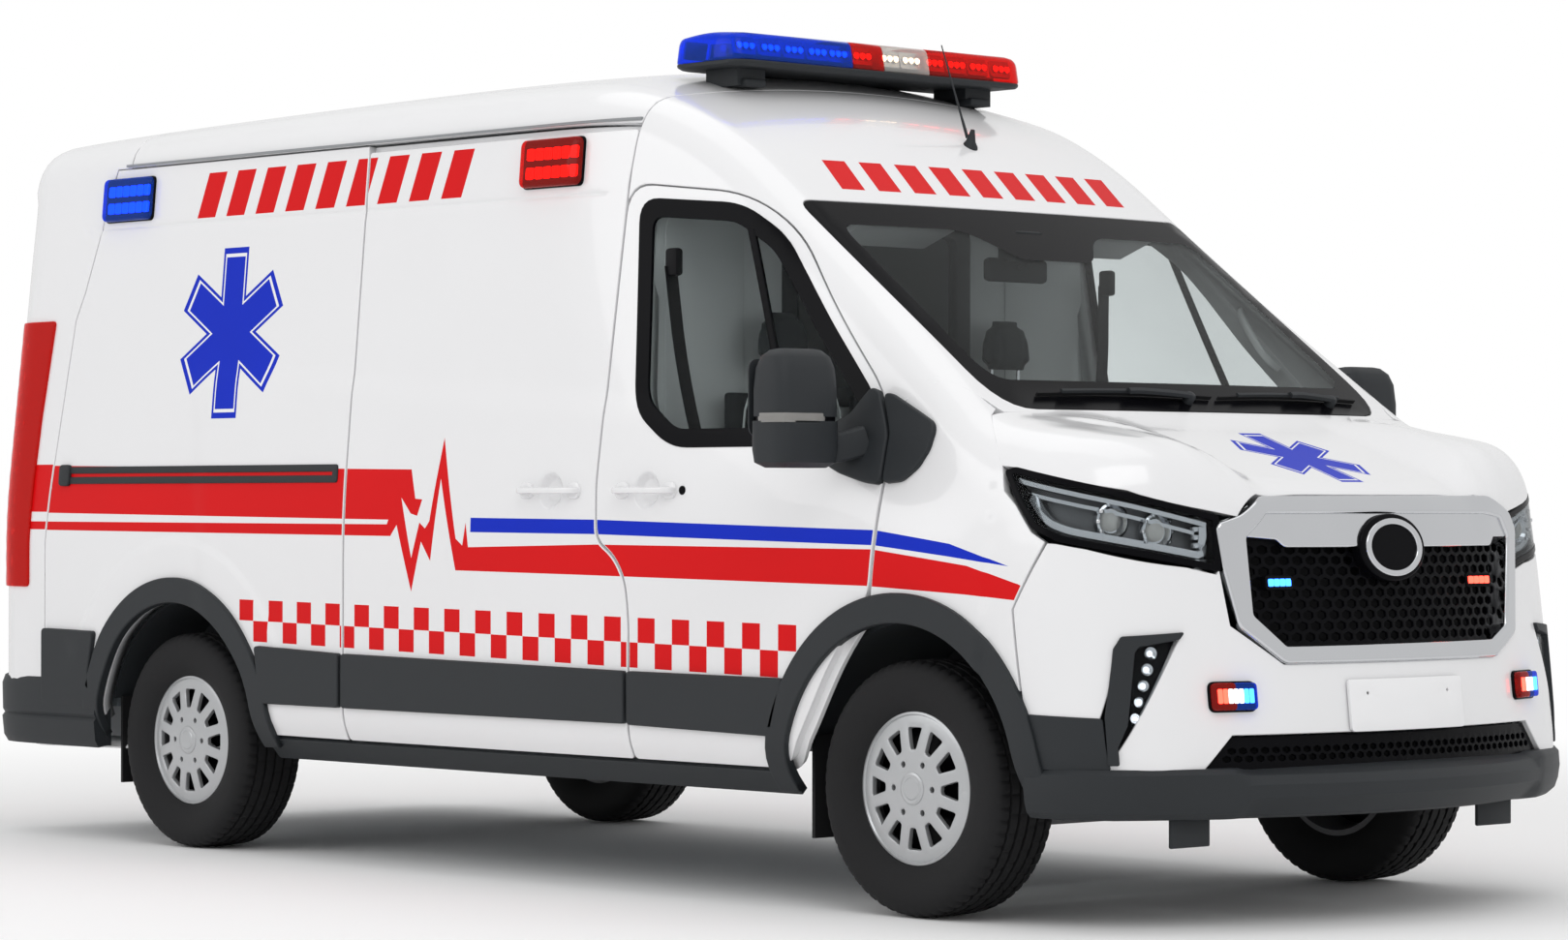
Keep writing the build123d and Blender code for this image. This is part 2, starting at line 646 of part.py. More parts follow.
housing_bottom = floor_bottom + floor_thickness + seat_gap
with BuildPart() as wheel_housings:
    for axle_x, inner_y in ((front_axle_x, 520), (rear_axle_x, 680)):
        add(combined(wheel_cylinder(axle_x, arch_radius + 10, inner_y),
                     wheel_cylinder(axle_x, arch_radius, inner_y + 10),
                     box_region((axle_x - 600, -reach, -200), (axle_x + 600, 0, housing_bottom)),
                     keep=inner))
    mirror(about=Plane.XZ)
wheel_housings.part.label = "wheel_housings"
export_step(wheel_housings.part, "parts/wheel_housings.step")

# ---- engine, bulkhead and cab fittings ------------------------------------------------------------------
with BuildPart() as engine_block:
    add(box_region((front_axle_x + 44, -300, rail_top + seat_gap), (front_x - 393, 300, 1050)))
engine_block.part.label = "engine_block"
export_step(engine_block.part, "parts/engine_block.step")

bulkhead_x = front_axle_x - 1156
cabin_liner = body_form(door_wall + 8)
with BuildPart() as bulkhead:
    add(box_region((bulkhead_x - 15, -reach, floor_bottom + floor_thickness + seat_gap),
                   (bulkhead_x + 15, reach, 2600)))
    add(cabin_liner, mode=Mode.INTERSECT)
    add(box_region((bulkhead_x - 50, -350, 1450), (bulkhead_x + 50, 350, 1950)), mode=Mode.SUBTRACT)
bulkhead.part.label = "bulkhead"
export_step(bulkhead.part, "parts/bulkhead.step")

driver_y = 450
column_rake = 60
wheel_centre = (front_axle_x - 506, driver_y, 1290)
steering_plane = Plane(origin=wheel_centre, x_dir=(0, 1, 0),
                       z_dir=(-cos(radians(90 - column_rake)), 0, sin(radians(90 - column_rake))))
steering_half = 14
dash_rear_x = front_axle_x - 336
firewall_x = front_axle_x - 136
with BuildPart() as dashboard:
    add(box_region((dash_rear_x, -850, 900), (firewall_x + 60, 850, 1290)))
    add(box_region((firewall_x + 30, -500, rail_top + seat_gap), (firewall_x + 60, 500, 900)))
    with BuildSketch(steering_plane.offset(-steering_half - seat_gap)):
        Circle(25)
    extrude(amount=-230)
dashboard.part.label = "dashboard"
export_step(dashboard.part, "parts/dashboard.step")

with BuildPart() as steering_wheel:
    with BuildSketch(steering_plane):
        Circle(200)
        Circle(172, mode=Mode.SUBTRACT)
        Rectangle(360, 40)
        Circle(60)
    extrude(amount=steering_half, both=True)
steering_wheel.part.label = "steering_wheel"
export_step(steering_wheel.part, "parts/steering_wheel.step")


def seat(centre_y, width):
    """A cab seat: base, cushion, back and headrest, facing forwards."""
    with BuildPart() as chair:
        add(box_region((front_axle_x - 996, centre_y - width / 2,
                        floor_bottom + floor_thickness + seat_gap),
                       (front_axle_x - 576, centre_y + width / 2, 780)))
        add(box_region((front_axle_x - 1056, centre_y - width / 2, 780),
                       (front_axle_x - 536, centre_y + width / 2, 920)))
        add(box_region((front_axle_x - 1096, centre_y - width / 2, 900),
                       (front_axle_x - 976, centre_y + width / 2, 1500)))
        add(box_region((front_axle_x - 1086, centre_y - 130, 1500),
                       (front_axle_x - 996, centre_y + 130, 1700)))
    return chair.part


with BuildPart() as driver_seat:
    add(seat(driver_y, 500))
driver_seat.part.label = "driver_seat"
export_step(driver_seat.part, "parts/driver_seat.step")

with BuildPart() as passenger_seats:
    add(seat(-480, 460))
    add(seat(-10, 400))
passenger_seats.part.label = "passenger_seats"
export_step(passenger_seats.part, "parts/passenger_seats.step")

# ---- roof light bar, side lamps, aerial ---------------------------------------------------
bar_x = front_axle_x - 1256
bar_half_y = 600
bar_half_x = 150
bar_bottom = 2425
bar_top = 2515
with BuildPart() as light_bar_base:
    add(box_region((bar_x - bar_half_x, -bar_half_y + 40, bar_bottom),
                   (bar_x + bar_half_x, bar_half_y - 40, bar_bottom + 20)))
    for side in (-1, 1):
        add(box_region((bar_x - 60, side * 480 - 60, 2350), (bar_x + 60, side * 480 + 60, bar_bottom)))
    add(outer, mode=Mode.SUBTRACT)
light_bar_base.part.label = "light_bar_base"
export_step(light_bar_base.part, "parts/light_bar_base.step")

with BuildPart() as light_bar_lens:
    add(box_region((bar_x - bar_half_x, -bar_half_y, bar_bottom + 20 + seat_gap),
                   (bar_x + bar_half_x, bar_half_y, bar_top)))
    fillet(light_bar_lens.edges().filter_by(Axis.Z), 100)
light_bar_lens.part.label = "light_bar_lens"
export_step(light_bar_lens.part, "parts/light_bar_lens.step")

warning_lift = body_form(-25)
with BuildPart() as warning_lamps:
    for x in (face_x + 638, front_axle_x - 1556):
        add(combined(warning_lift, outer, keep=box_region((x - 120, -reach, 2060), (x + 120, -700, 2190))))
    add(combined(warning_lift, outer, keep=box_region((front_x - 473, -730, 585),
                                                      (front_x - 73, -590, 645))))
    mirror(about=Plane.XZ)
warning_lamps.part.label = "warning_lamps"
export_step(warning_lamps.part, "parts/warning_lamps.step")

# ---- mirrors, flaps ----------------------------------------------------------------------------------------
with BuildPart() as mirror_right:
    add(box_region((front_axle_x - 606, -1290, 1240), (front_axle_x - 466, -1060, 1530)))
    add(box_region((front_axle_x - 506, -1062, 1270), (front_axle_x - 356, -960, 1330)))
    add(outer, mode=Mode.SUBTRACT)
mirror_right.part.label = "mirror_right"
export_step(mirror_right.part, "parts/mirror_right.step")

with BuildPart() as mirror_left:
    add(left_of(mirror_right.part))
mirror_left.part.label = "mirror_left"
export_step(mirror_left.part, "parts/mirror_left.step")

with BuildPart() as mud_flaps:
    for x in (front_axle_x - 425, rear_axle_x - 425):
        add(box_region((x - 6, -930, 190), (x + 6, -745, 476)))
    mirror(about=Plane.XZ)
mud_flaps.part.label = "mud_flaps"
export_step(mud_flaps.part, "parts/mud_flaps.step")

# ---- axles, knuckles and wheels ---------------------------------------------------------------------------
spindle_end = wheel_y + 60
with BuildPart() as rear_axle:
    with BuildSketch(Plane.XZ.offset(-steer_y + 20)):
        with Locations((rear_axle_x, tyre_radius)):
            Circle(38)
    extrude(amount=2 * (steer_y - 20))
    with Locations((rear_axle_x, 0, tyre_radius)):
        Sphere(120)
    for side in (-1, 1):
        with BuildSketch(Plane.XZ.offset(side * (steer_y - 20))):
            with Locations((rear_axle_x, tyre_radius)):
                Circle(140)
        extrude(amount=side * 50)
        with BuildSketch(Plane.XZ.offset(side * (steer_y + 20))):
            with Locations((rear_axle_x, tyre_radius)):
                Circle(spindle_radius)
        extrude(amount=side * (spindle_end - steer_y - 20))
        add(box_region((rear_axle_x - 60, side * rail_y - 30, tyre_radius),
                       (rear_axle_x + 60, side * rail_y + 30, rail_bottom - seat_gap)))
    add(box_region((rear_axle_x - 120, -130, rail_bottom - seat_gap), (rear_axle_x + 120, 130, 600)),
        mode=Mode.SUBTRACT)
rear_axle.part.label = "rear_axle"
export_step(rear_axle.part, "parts/rear_axle.step")

with BuildPart() as knuckle_right:
    add(box_region((front_axle_x - 40, -wheel_y + 30, knuckle_low),
                   (front_axle_x + 40, -steer_y + 60, tyre_radius + 80)))
    with BuildSketch(Plane.XZ.offset(wheel_y - 30)):
        with Locations((front_axle_x, tyre_radius)):
            Circle(spindle_radius)
    extrude(amount=90)
knuckle_right.part.label = "knuckle_right"
export_step(knuckle_right.part, "parts/knuckle_right.step")

with BuildPart() as knuckle_left:
    add(left_of(knuckle_right.part))
knuckle_left.part.label = "knuckle_left"
export_step(knuckle_left.part, "parts/knuckle_left.step")

# columns: distance from the tyre's middle plane, radius
tyre_profile = ((tyre_width / 2 - 20, rim_radius), (tyre_width / 2 - 6, rim_radius + 25),
                (tyre_width / 2, rim_radius + 70), (tyre_width / 2 - 8, tyre_radius - 32),
                (tyre_width / 2 - 28, tyre_radius - 8), (tyre_width / 2 - 55, tyre_radius))
wheels = (("front_right", front_axle_x, -1), ("front_left", front_axle_x, 1),
          ("rear_right", rear_axle_x, -1), ("rear_left", rear_axle_x, 1))
for place, axle_x, side in wheels:
    hub = Plane(origin=(axle_x, side * wheel_y, tyre_radius), x_dir=(1, 0, 0), z_dir=(0, side, 0))
    with BuildPart() as tyre:
        with BuildSketch(Plane(origin=hub.origin, x_dir=(1, 0, 0), z_dir=(0, 0, 1))):
            with BuildLine():
                Polyline(*[(r, y) for y, r in tyre_profile], *[(r, -y) for y, r in tyre_profile[::-1]],
                         close=True)
            make_face()
        revolve(axis=Axis(hub.origin, (0, 1, 0)))
    tyre.part.label = "tyre_" + place
    export_step(tyre.part, "parts/tyre_" + place + ".step")
    with BuildPart() as rim:
        with BuildSketch(hub.offset(-tyre_width / 2 + 10)):
            Circle(rim_radius - 0.5)
            Circle(rim_radius - 12, mode=Mode.SUBTRACT)
        extrude(amount=tyre_width - 20)
        with BuildSketch(hub.offset(70)):
            Circle(rim_radius - 5)
        extrude(amount=30)
        with BuildSketch(hub):
            Circle(70)
            Circle(spindle_radius + running_clearance, mode=Mode.SUBTRACT)
        extrude(amount=75)
        with BuildSketch(hub.offset(-30)):
            Circle(spindle_radius + running_clearance)
        extrude(amount=105, mode=Mode.SUBTRACT)
    rim.part.label = "rim_" + place
    export_step(rim.part, "parts/rim_" + place + ".step")
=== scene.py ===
"""Looks of the high-roof van ambulance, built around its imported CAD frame.

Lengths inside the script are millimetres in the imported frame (+X forwards, +Y left, +Z up);
make_object() turns them into metres. The mirror image of a piece named _right
rides on the left-hand body and replaces the left-hand node.
"""
import json
from functools import reduce
from math import ceil, cos, hypot, pi, radians, sin, tan

import bmesh
import bpy
import numpy as np
from mathutils import Matrix, Vector
from mathutils.geometry import delaunay_2d_cdt


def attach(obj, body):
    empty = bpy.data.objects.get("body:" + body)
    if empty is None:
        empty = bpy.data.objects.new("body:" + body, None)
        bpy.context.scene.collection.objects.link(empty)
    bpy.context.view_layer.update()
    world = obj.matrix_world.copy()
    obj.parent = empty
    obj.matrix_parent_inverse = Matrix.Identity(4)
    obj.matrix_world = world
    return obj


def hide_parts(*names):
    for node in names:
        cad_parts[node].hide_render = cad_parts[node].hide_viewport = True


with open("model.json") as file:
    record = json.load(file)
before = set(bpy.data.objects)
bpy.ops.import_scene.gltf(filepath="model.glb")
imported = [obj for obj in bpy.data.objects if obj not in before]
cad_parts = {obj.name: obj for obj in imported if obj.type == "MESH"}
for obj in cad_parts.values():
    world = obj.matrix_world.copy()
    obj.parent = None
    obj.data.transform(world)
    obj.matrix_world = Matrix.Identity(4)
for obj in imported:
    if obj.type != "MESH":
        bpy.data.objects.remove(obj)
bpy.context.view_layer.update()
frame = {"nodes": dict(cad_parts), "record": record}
scene = bpy.context.scene
scene.view_settings.view_transform = "Standard"

MM = 0.001
FRONT_AXLE = 1756.0
REAR_AXLE = -1610.0
WHEEL_Y = 865.0
TYRE_R = 348.0
HALF_WIDTH = 1012.0
GUTTER_Z = 2229.0
COWL_X, COWL_Z = 1991.0, 1365.0    # foot of the windscreen in the middle
FACE_X = -2698.0             # outer skin of the rear doors
NOSE_X = 2658.0              # front skin at the height of the number plate
SHUT = 4.0                   # half of the gap between two panels
NOSE_R = 2200.0              # radius of the nose, seen from above
ARCH_R = 452.0               # radius of the wheel arches
HANDLE_Z = 1153              # height of the side handles
HANDLE_XS = (288, 712)       # middles of the sliding door's and the front door's handle

# ---- camera ----
CAMERA_AT = Vector((10.4026, -9.3859, 1.1116))
CAMERA_YAW = radians(-47.393)
CAMERA_PITCH = radians(0.448)
CAMERA_ROLL = radians(0.041)
CAMERA_LENS = 102.9


def add_camera():
    """The camera that sees the object as it stands in the picture."""
    data = bpy.data.cameras.new("camera")
    data.sensor_width = 36.0
    data.lens = CAMERA_LENS
    data.clip_end = 200
    obj = bpy.data.objects.new("camera", data)
    scene.collection.objects.link(obj)
    view = Vector((sin(CAMERA_YAW) * cos(CAMERA_PITCH), cos(CAMERA_YAW) * cos(CAMERA_PITCH), sin(CAMERA_PITCH)))
    right = Vector((cos(CAMERA_YAW), -sin(CAMERA_YAW), 0.0))
    up = right.cross(view)
    right, up = (cos(CAMERA_ROLL) * right + sin(CAMERA_ROLL) * up,
                 cos(CAMERA_ROLL) * up - sin(CAMERA_ROLL) * right)
    obj.matrix_world = Matrix((
        (right.x, up.x, -view.x, CAMERA_AT.x),
        (right.y, up.y, -view.y, CAMERA_AT.y),
        (right.z, up.z, -view.z, CAMERA_AT.z),
        (0, 0, 0, 1)))
    scene.camera = obj


add_camera()

# ---- materials ----
materials = {}


def plug(tree, node, inputs):
    """Fills sockets of a node, each with a value or with another node's output."""
    for socket, value in inputs.items():
        if isinstance(value, bpy.types.NodeSocket):
            tree.links.new(value, node.inputs[socket])
        else:
            node.inputs[socket].default_value = value


def add_node(tree, kind, inputs, **settings):
    """Adds a shader node with its sockets and settings."""
    node = tree.nodes.new("ShaderNode" + kind)
    for key, value in settings.items():
        setattr(node, key, value)
    plug(tree, node, inputs)
    return node


def new_material(name):
    """An empty material: its node tree and its main shader."""
    materials[name] = bpy.data.materials.new(name)
    materials[name].use_nodes = True
    tree = materials[name].node_tree
    return tree, tree.nodes["Principled BSDF"]


def material(name, colour, rough=0.5, metal=0.0, coat=0.0, bump=0.0, scale=60.0, vary=0.06,
             rough_vary=0.08, emit=None, power=0.0, sheen=0.0, weave=0.0, ior=1.5):
    """A procedural finish: colour variation, broken-up gloss and a fine bump."""
    tree, shader = new_material(name)
    place = add_node(tree, "TexCoord", {}).outputs["Object"]
    fine = add_node(tree, "TexNoise", {"Scale": scale, "Detail": 4.0, "Vector": place}).outputs["Fac"]
    broad = add_node(tree, "TexNoise", {"Scale": 2.3, "Detail": 3.0, "Vector": place}).outputs["Fac"]
    blend = add_node(tree, "Mix", {0: 0.35, 2: broad, 3: fine}, data_type="FLOAT").outputs[0]
    ramp = add_node(tree, "ValToRGB", {"Fac": blend})
    for stop, position, shade in zip(ramp.color_ramp.elements, (0.3, 0.7), (1 - vary, 1 + vary)):
        stop.position = position
        stop.color = (*[min(1.0, c * shade) for c in colour], 1)
    spread = add_node(tree, "MapRange", {"Value": blend, "To Min": max(0.0, rough - rough_vary),
                                         "To Max": min(1.0, rough + rough_vary)})
    plug(tree, shader, {"Base Color": ramp.outputs["Color"], "Roughness": spread.outputs["Result"],
                        "Metallic": metal, "Coat Weight": coat, "Coat Roughness": 0.04, "IOR": ior,
                        "Sheen Weight": sheen})
    if bump:
        if weave:
            wave = add_node(tree, "TexWave", {"Scale": weave, "Distortion": 1.5, "Vector": place})
            fine = add_node(tree, "Math", {0: fine, 1: wave.outputs["Fac"]}, operation="ADD").outputs[0]
        relief = add_node(tree, "Bump", {"Strength": bump, "Distance": 0.001, "Height": fine})
        plug(tree, shader, {"Normal": relief.outputs["Normal"]})
    if emit:
        plug(tree, shader, {"Emission Color": (*emit, 1), "Emission Strength": power})


material("paint", (0.80, 0.80, 0.81), 0.22, coat=0.6, bump=0.02, scale=900, vary=0.008, rough_vary=0.03)
material("decal_red", (0.66, 0.002, 0.004), 0.42, ior=1.22, bump=0.03, scale=700, vary=0.03, rough_vary=0.04)
material("decal_blue", (0.001, 0.022, 0.50), 0.42, ior=1.22, bump=0.03, scale=700, vary=0.04, rough_vary=0.04)
material("decal_white", (0.84, 0.84, 0.85), 0.3, coat=0.3, bump=0.03, scale=700, vary=0.01, rough_vary=0.04)
material("under_paint", (0.42, 0.43, 0.44), 0.6, bump=0.15, scale=300, vary=0.08)
material("trim", (0.020, 0.023, 0.026), 0.52, ior=1.36, bump=0.35, scale=1400, vary=0.12, rough_vary=0.08)
material("gloss_black", (0.003, 0.003, 0.004), 0.22, ior=1.14, bump=0.02, scale=500, vary=0.2, rough_vary=0.05)
material("seal", (0.005, 0.005, 0.006), 0.62, ior=1.25, bump=0.2, scale=700, vary=0.2)
material("rubber", (0.010, 0.010, 0.011), 0.72, ior=1.34, bump=0.45, scale=380, vary=0.25, rough_vary=0.1)
material("silver", (0.47, 0.48, 0.49), 0.33, metal=0.6, coat=0.15, bump=0.05, scale=1200, vary=0.04)
material("chrome", (0.62, 0.63, 0.65), 0.10, metal=1.0, bump=0.02, scale=400, vary=0.03, rough_vary=0.04)
material("bright", (0.62, 0.63, 0.65), 0.20, metal=0.75, coat=0.3, bump=0.02, scale=400, vary=0.03)
material("steel", (0.16, 0.16, 0.165), 0.55, metal=0.6, bump=0.4, scale=150, vary=0.3, rough_vary=0.15)
material("liner", (0.26, 0.27, 0.28), 0.75, bump=0.4, scale=200, vary=0.15)
# light grey of the cab's plastics, made lighter than their own colour: painted light that stands in for the
# light the cab gets only through its glass
material("cab_grey_and_painted_light", (0.60, 0.62, 0.62), 0.7, bump=0.2, scale=500, vary=0.05)
material("cab_dark", (0.018, 0.021, 0.023), 0.66, ior=1.3, bump=0.12, scale=900, vary=0.1)
material("cloth", (0.024, 0.029, 0.032), 0.82, bump=0.2, scale=1500, vary=0.12, sheen=0.08, weave=260)
material("vinyl", (0.20, 0.23, 0.25), 0.5, bump=0.2, scale=240, vary=0.12)
material("led_white", (0.9, 0.9, 0.95), 0.3, emit=(0.95, 0.97, 1.0), power=1.4)
material("led_blue", (0.02, 0.2, 0.9), 0.3, emit=(0.03, 0.17, 1.0), power=5.0)
material("led_red", (0.9, 0.05, 0.02), 0.3, emit=(1.0, 0.05, 0.03), power=5.0)
material("led_amber", (0.9, 0.5, 0.2), 0.3, emit=(1.0, 0.72, 0.45), power=5.0)


def glass_material(name, colour, clear, ior=1.45, body=0.1):
    """Thin tinted glass or lens plastic: see-through, tinted by its colour, glossy on top."""
    tree, shader = new_material(name)
    plug(tree, shader, {"Base Color": (*[c * body for c in colour], 1), "Roughness": 0.02, "IOR": ior})
    place = add_node(tree, "TexCoord", {}).outputs["Object"]
    noise = add_node(tree, "TexNoise", {"Scale": 3.0, "Vector": place})
    tint = add_node(tree, "ValToRGB", {"Fac": noise.outputs["Fac"]})
    tint.color_ramp.elements[0].color = (*[c * 0.96 for c in colour], 1)
    tint.color_ramp.elements[1].color = (*colour, 1)
    through = add_node(tree, "BsdfTransparent", {"Color": tint.outputs["Color"]})
    edge = add_node(tree, "LayerWeight", {"Blend": 0.5})
    steep = add_node(tree, "Math", {0: edge.outputs["Facing"], 1: 4.5}, operation="POWER")
    share = add_node(tree, "MapRange", {"Value": steep.outputs[0], "To Min": 1 - clear})
    mix = add_node(tree, "MixShader", {0: share.outputs["Result"], 1: through.outputs["BSDF"],
                                       2: shader.outputs["BSDF"]})
    plug(tree, tree.nodes["Material Output"], {"Surface": mix.outputs["Shader"]})


glass_material("glass", (0.95, 0.97, 0.97), 0.97, ior=1.38)
glass_material("lens_clear", (0.93, 0.95, 0.96), 0.97)
glass_material("lens_red", (0.95, 0.03, 0.02), 0.72, body=0.75)
glass_material("lens_blue", (0.02, 0.14, 0.98), 0.72, body=0.75)
glass_material("lens_frost", (0.94, 0.92, 0.88), 0.66, body=0.75)


# ---- the body as one smooth field: negative inside, zero on the outer skin ----
def smax(a, b, k):
    """Smooth maximum: rounds the edge where two faces meet over a width k."""
    h = np.clip(0.5 + 0.5 * (a - b) / k, 0.0, 1.0)
    return b + (a - b) * h + k * h * (1 - h)


def smin(a, b, k):
    """Smooth minimum."""
    return -smax(-a, -b, k)


def smooth(low, high, t):
    """0 below low, 1 above high, smooth between them."""
    s = np.clip((t - low) / (high - low), 0.0, 1.0)
    return s * s * (3 - 2 * s)


ROOF_LINE = ((-2700, 2400), (-2400, 2413), (-2086, 2425), (-1300, 2440), (-552, 2446), (0, 2446),
             (318, 2436), (600, 2418))
roof_poly = np.polyfit([x / 1000 for x, z in ROOF_LINE], [z for x, z in ROOF_LINE], 4)


def side_y(x, z):
    """Half-width of the body at x and z."""
    s = smooth(1450, 2050, x)
    cab = 0.086 + 0.000135 * smax(x - 400, 0, 200)
    lean = (1 - s) * cab + s * 0.13
    waist = 1080 - 230 * s
    low = np.maximum(480 - z, 0)
    return HALF_WIDTH - lean * smax(z - waist, 0, 160) - low * low / 330


def nose_shift(y):
    """How far the nose lies behind its middle at y."""
    return NOSE_R - np.sqrt(np.maximum(NOSE_R ** 2 - y * y, 1.0))


def in_rounded(x, z, points, soft_radius):
    """Signed distance to a convex quadrilateral with rounded corners, negative inside."""
    distances = []
    for (x0, z0), (x1, z1) in zip(points, points[1:] + points[:1]):
        ex, ez = x1 - x0, z1 - z0
        distances.append(((x - x0) * ez - (z - z0) * ex) / hypot(ex, ez))
    return reduce(lambda a, b: smax(a, b, soft_radius), distances)


RECESS = [(395, 1346), (360, 1984), (-2195, 1969), (-2230, 1373)]


def relief(x, y, z):
    """Stamped features of the panels: positive is pressed in."""
    d = np.zeros_like(x)
    side = np.abs(y) > 700
    recess = in_rounded(x, z, RECESS[::-1], 90)
    d += np.where(side, 8.0 * smooth(10, -12, recess), 0)
    step = np.abs(z - 2022 + 0.004 * x)
    fade = smooth(-2280, -2240, x) * smooth(450, 410, x)
    d += np.where(side, 2.5 * smooth(9, 2, step) * fade, 0)
    r = np.hypot(x - REAR_AXLE, z - TYRE_R)
    flare = smooth(668, 630, r) * smooth(560, 700, z)
    d -= np.where(side & (x < 0), 6.0 * flare, 0)
    for cx in HANDLE_XS:
        r = np.hypot(x - cx, z - HANDLE_Z)
        d += np.where(side & (y < 0) | side & (cx > 500), 20.0 * smooth(58, 30, r), 0)
    # soft ridges that run from the windscreen's corners to the grille
    ridge_y = 700 - 0.33 * (x - 1900)
    t = np.abs(y) - ridge_y
    top = smooth(1100, 1230, z) * smooth(1950, 2150, x)
    d += np.where(x > 1800, 9.0 * top * smooth(-20, 45, t) * smooth(260, 120, t), 0)
    return d


def body_field(p):
    """Signed distance, roughly, from the body's skin at points p (n x 3)."""
    x, y, z = p[:, 0], p[:, 1], p[:, 2]
    ay = np.abs(y)
    side = ay - side_y(x, z)
    roof = z - (np.polyval(roof_poly, x / 1000) - 83 * (y / 820) ** 2)
    screen = (z - COWL_Z + 0.739 * (x - COWL_X + 46 * (y / 800) ** 2)) / 1.243
    back = FACE_X + 0.036 * smax(z - 1080, 0, 100) - x
    cabin = smax(smax(roof, screen, 230), side, 115)
    cabin = smax(cabin, back, np.where(z > 2150, 150, 170))
    cabin = np.maximum(cabin, x - 2060)
    shift = nose_shift(np.minimum(ay, 1500))
    xs = x + shift
    crown = COWL_Z - 0.07 * (xs - COWL_X) - 1.49e-4 * np.maximum(xs - COWL_X, 0) ** 2
    middle = np.maximum(crown - (1354 - 0.363 * (x - COWL_X)), 0) * smooth(640, 380, ay)
    bonnet = (z - crown + middle) / 1.04
    nose = np.hypot(x + 0.11 * (z - 704) - (NOSE_X - NOSE_R), y) - NOSE_R
    shoulder = np.interp(x, [1700, 2066, 2400, 2700], [105, 190, 250, 260])
    front = smax(smax(bonnet, nose, 130), side, shoulder)
    return smin(cabin, front, 24) + relief(x, y, z)


def field_normal(p):
    """Unit gradient of the body field."""
    step = 1.5
    n = np.zeros_like(p)
    for i in range(3):
        q = p.copy()
        q[:, i] += step
        r = p.copy()
        r[:, i] -= step
        n[:, i] = body_field(q) - body_field(r)
    return n / np.linalg.norm(n, axis=1)[:, None]


def solve(origin, direction):
    """Where rays from inside leave the body."""
    low = np.zeros(len(origin))
    high = np.full(len(origin), 3300.0)
    for _ in range(34):
        middle = (low + high) / 2
        inside = body_field(origin + direction * middle[:, None]) < 0
        low = np.where(inside, middle, low)
        high = np.where(inside, high, middle)
    return origin + direction * low[:, None]


# ---- views: flat coordinates (u, v) on a surface ----
def columns(*parts):
    """A table with a column for each array, or for a number that is the same in every row."""
    return np.stack(np.broadcast_arrays(*parts), 1)


class View:
    """Flat coordinates (u, v) on the body's skin, reached by rays that start inside it."""

    def place(self, uv):
        """The skin's points at flat places, and its normals there."""
        p = solve(*self.rays(*np.array(uv, float).T))
        return p, field_normal(p)

    def flat(self, points):
        """Flat places of points."""
        return self.unroll(np.array(points, float))


class SideView(View):
    """Right-hand side: u is x, v is z."""

    def rays(self, u, v):
        return columns(u, 0.0, v), np.array((0.0, -1.0, 0.0))

    def unroll(self, p):
        return columns(p[:, 0], p[:, 2])


class FrontView(View):
    """From the front, or with way -1 from behind: u is y times way, v is z.

    start is the x inside the body where rays begin.
    """

    def __init__(self, start, way=1.0):
        self.start, self.way = start, way

    def rays(self, u, v):
        return columns(self.start, u * self.way, v), np.array((self.way, 0.0, 0.0))

    def unroll(self, p):
        return columns(p[:, 1] * self.way, p[:, 2])


class DrumView(View):
    """Round a vertical axis at x = centre: u is the arc from the +X direction towards +Y."""

    def __init__(self, centre, radius):
        self.centre, self.radius = centre, radius

    def rays(self, u, v):
        a = u / self.radius
        return columns(self.centre, 0.0 * u, v), columns(np.cos(a), np.sin(a), 0.0)

    def unroll(self, p):
        return columns(np.arctan2(p[:, 1], p[:, 0] - self.centre) * self.radius, p[:, 2])


class CentreView(View):
    """Seen from a point inside, on a plane 1000 mm away across the direction look."""
    SCALE = 1000.0

    def __init__(self, centre, look):
        self.c = np.array(centre, float)
        self.n = np.array(look, float)
        self.n /= np.linalg.norm(self.n)
        self.e1 = np.cross((0.0, 1.0, 0.0), self.n)
        self.e1 /= np.linalg.norm(self.e1)
        self.e2 = np.cross(self.n, self.e1)

    def rays(self, u, v):
        d = self.n * self.SCALE + u[:, None] * self.e1 + v[:, None] * self.e2
        d /= np.linalg.norm(d, axis=1)[:, None]
        return np.tile(self.c, (len(u), 1)), d

    def unroll(self, p):
        d = p - self.c
        w = d @ self.n
        return columns(d @ self.e1 / w, d @ self.e2 / w) * self.SCALE


class RoofView(View):
    """Round an axis along X at height 1500: u is x, v the arc from the top towards +Y."""
    HEIGHT = 1500.0
    RADIUS = 900.0

    def rays(self, u, v):
        a = v / self.RADIUS
        return columns(u, 0.0, self.HEIGHT), columns(0.0, np.sin(a), np.cos(a))

    def unroll(self, p):
        return columns(p[:, 0], np.arctan2(p[:, 1], p[:, 2] - self.HEIGHT) * self.RADIUS)


SIDE = SideView()


def side_points(points):
    """Points of the right-hand side, given as (x, z), on the skin."""
    return SIDE.place(points)[0]


def front_points(points, start):
    """Points of the front, given as (y, z), on the skin."""
    return FrontView(start).place(points)[0]


# ---- outlines ----
def turning(p):
    """Twice a closed outline's area, positive if it runs counter-clockwise."""
    return np.sum(p[:, 0] * np.roll(p[:, 1], -1) - np.roll(p[:, 0], -1) * p[:, 1])


def inset(points, gap):
    """A closed outline moved inwards by gap (outwards if negative), corners kept sharp."""
    p = np.array(points, float)
    turn = 1.0 if turning(p) > 0 else -1.0
    a = np.roll(p, 1, 0)
    b = np.roll(p, -1, 0)
    e1 = (p - a) / np.linalg.norm(p - a, axis=1)[:, None]
    e2 = (b - p) / np.linalg.norm(b - p, axis=1)[:, None]
    n1 = np.stack([-e1[:, 1], e1[:, 0]], 1) * turn
    n2 = np.stack([-e2[:, 1], e2[:, 0]], 1) * turn
    m = n1 + n2
    scale = 2.0 / np.maximum(np.sum(m * m, 1), 0.3)
    return p + m * scale[:, None] * gap


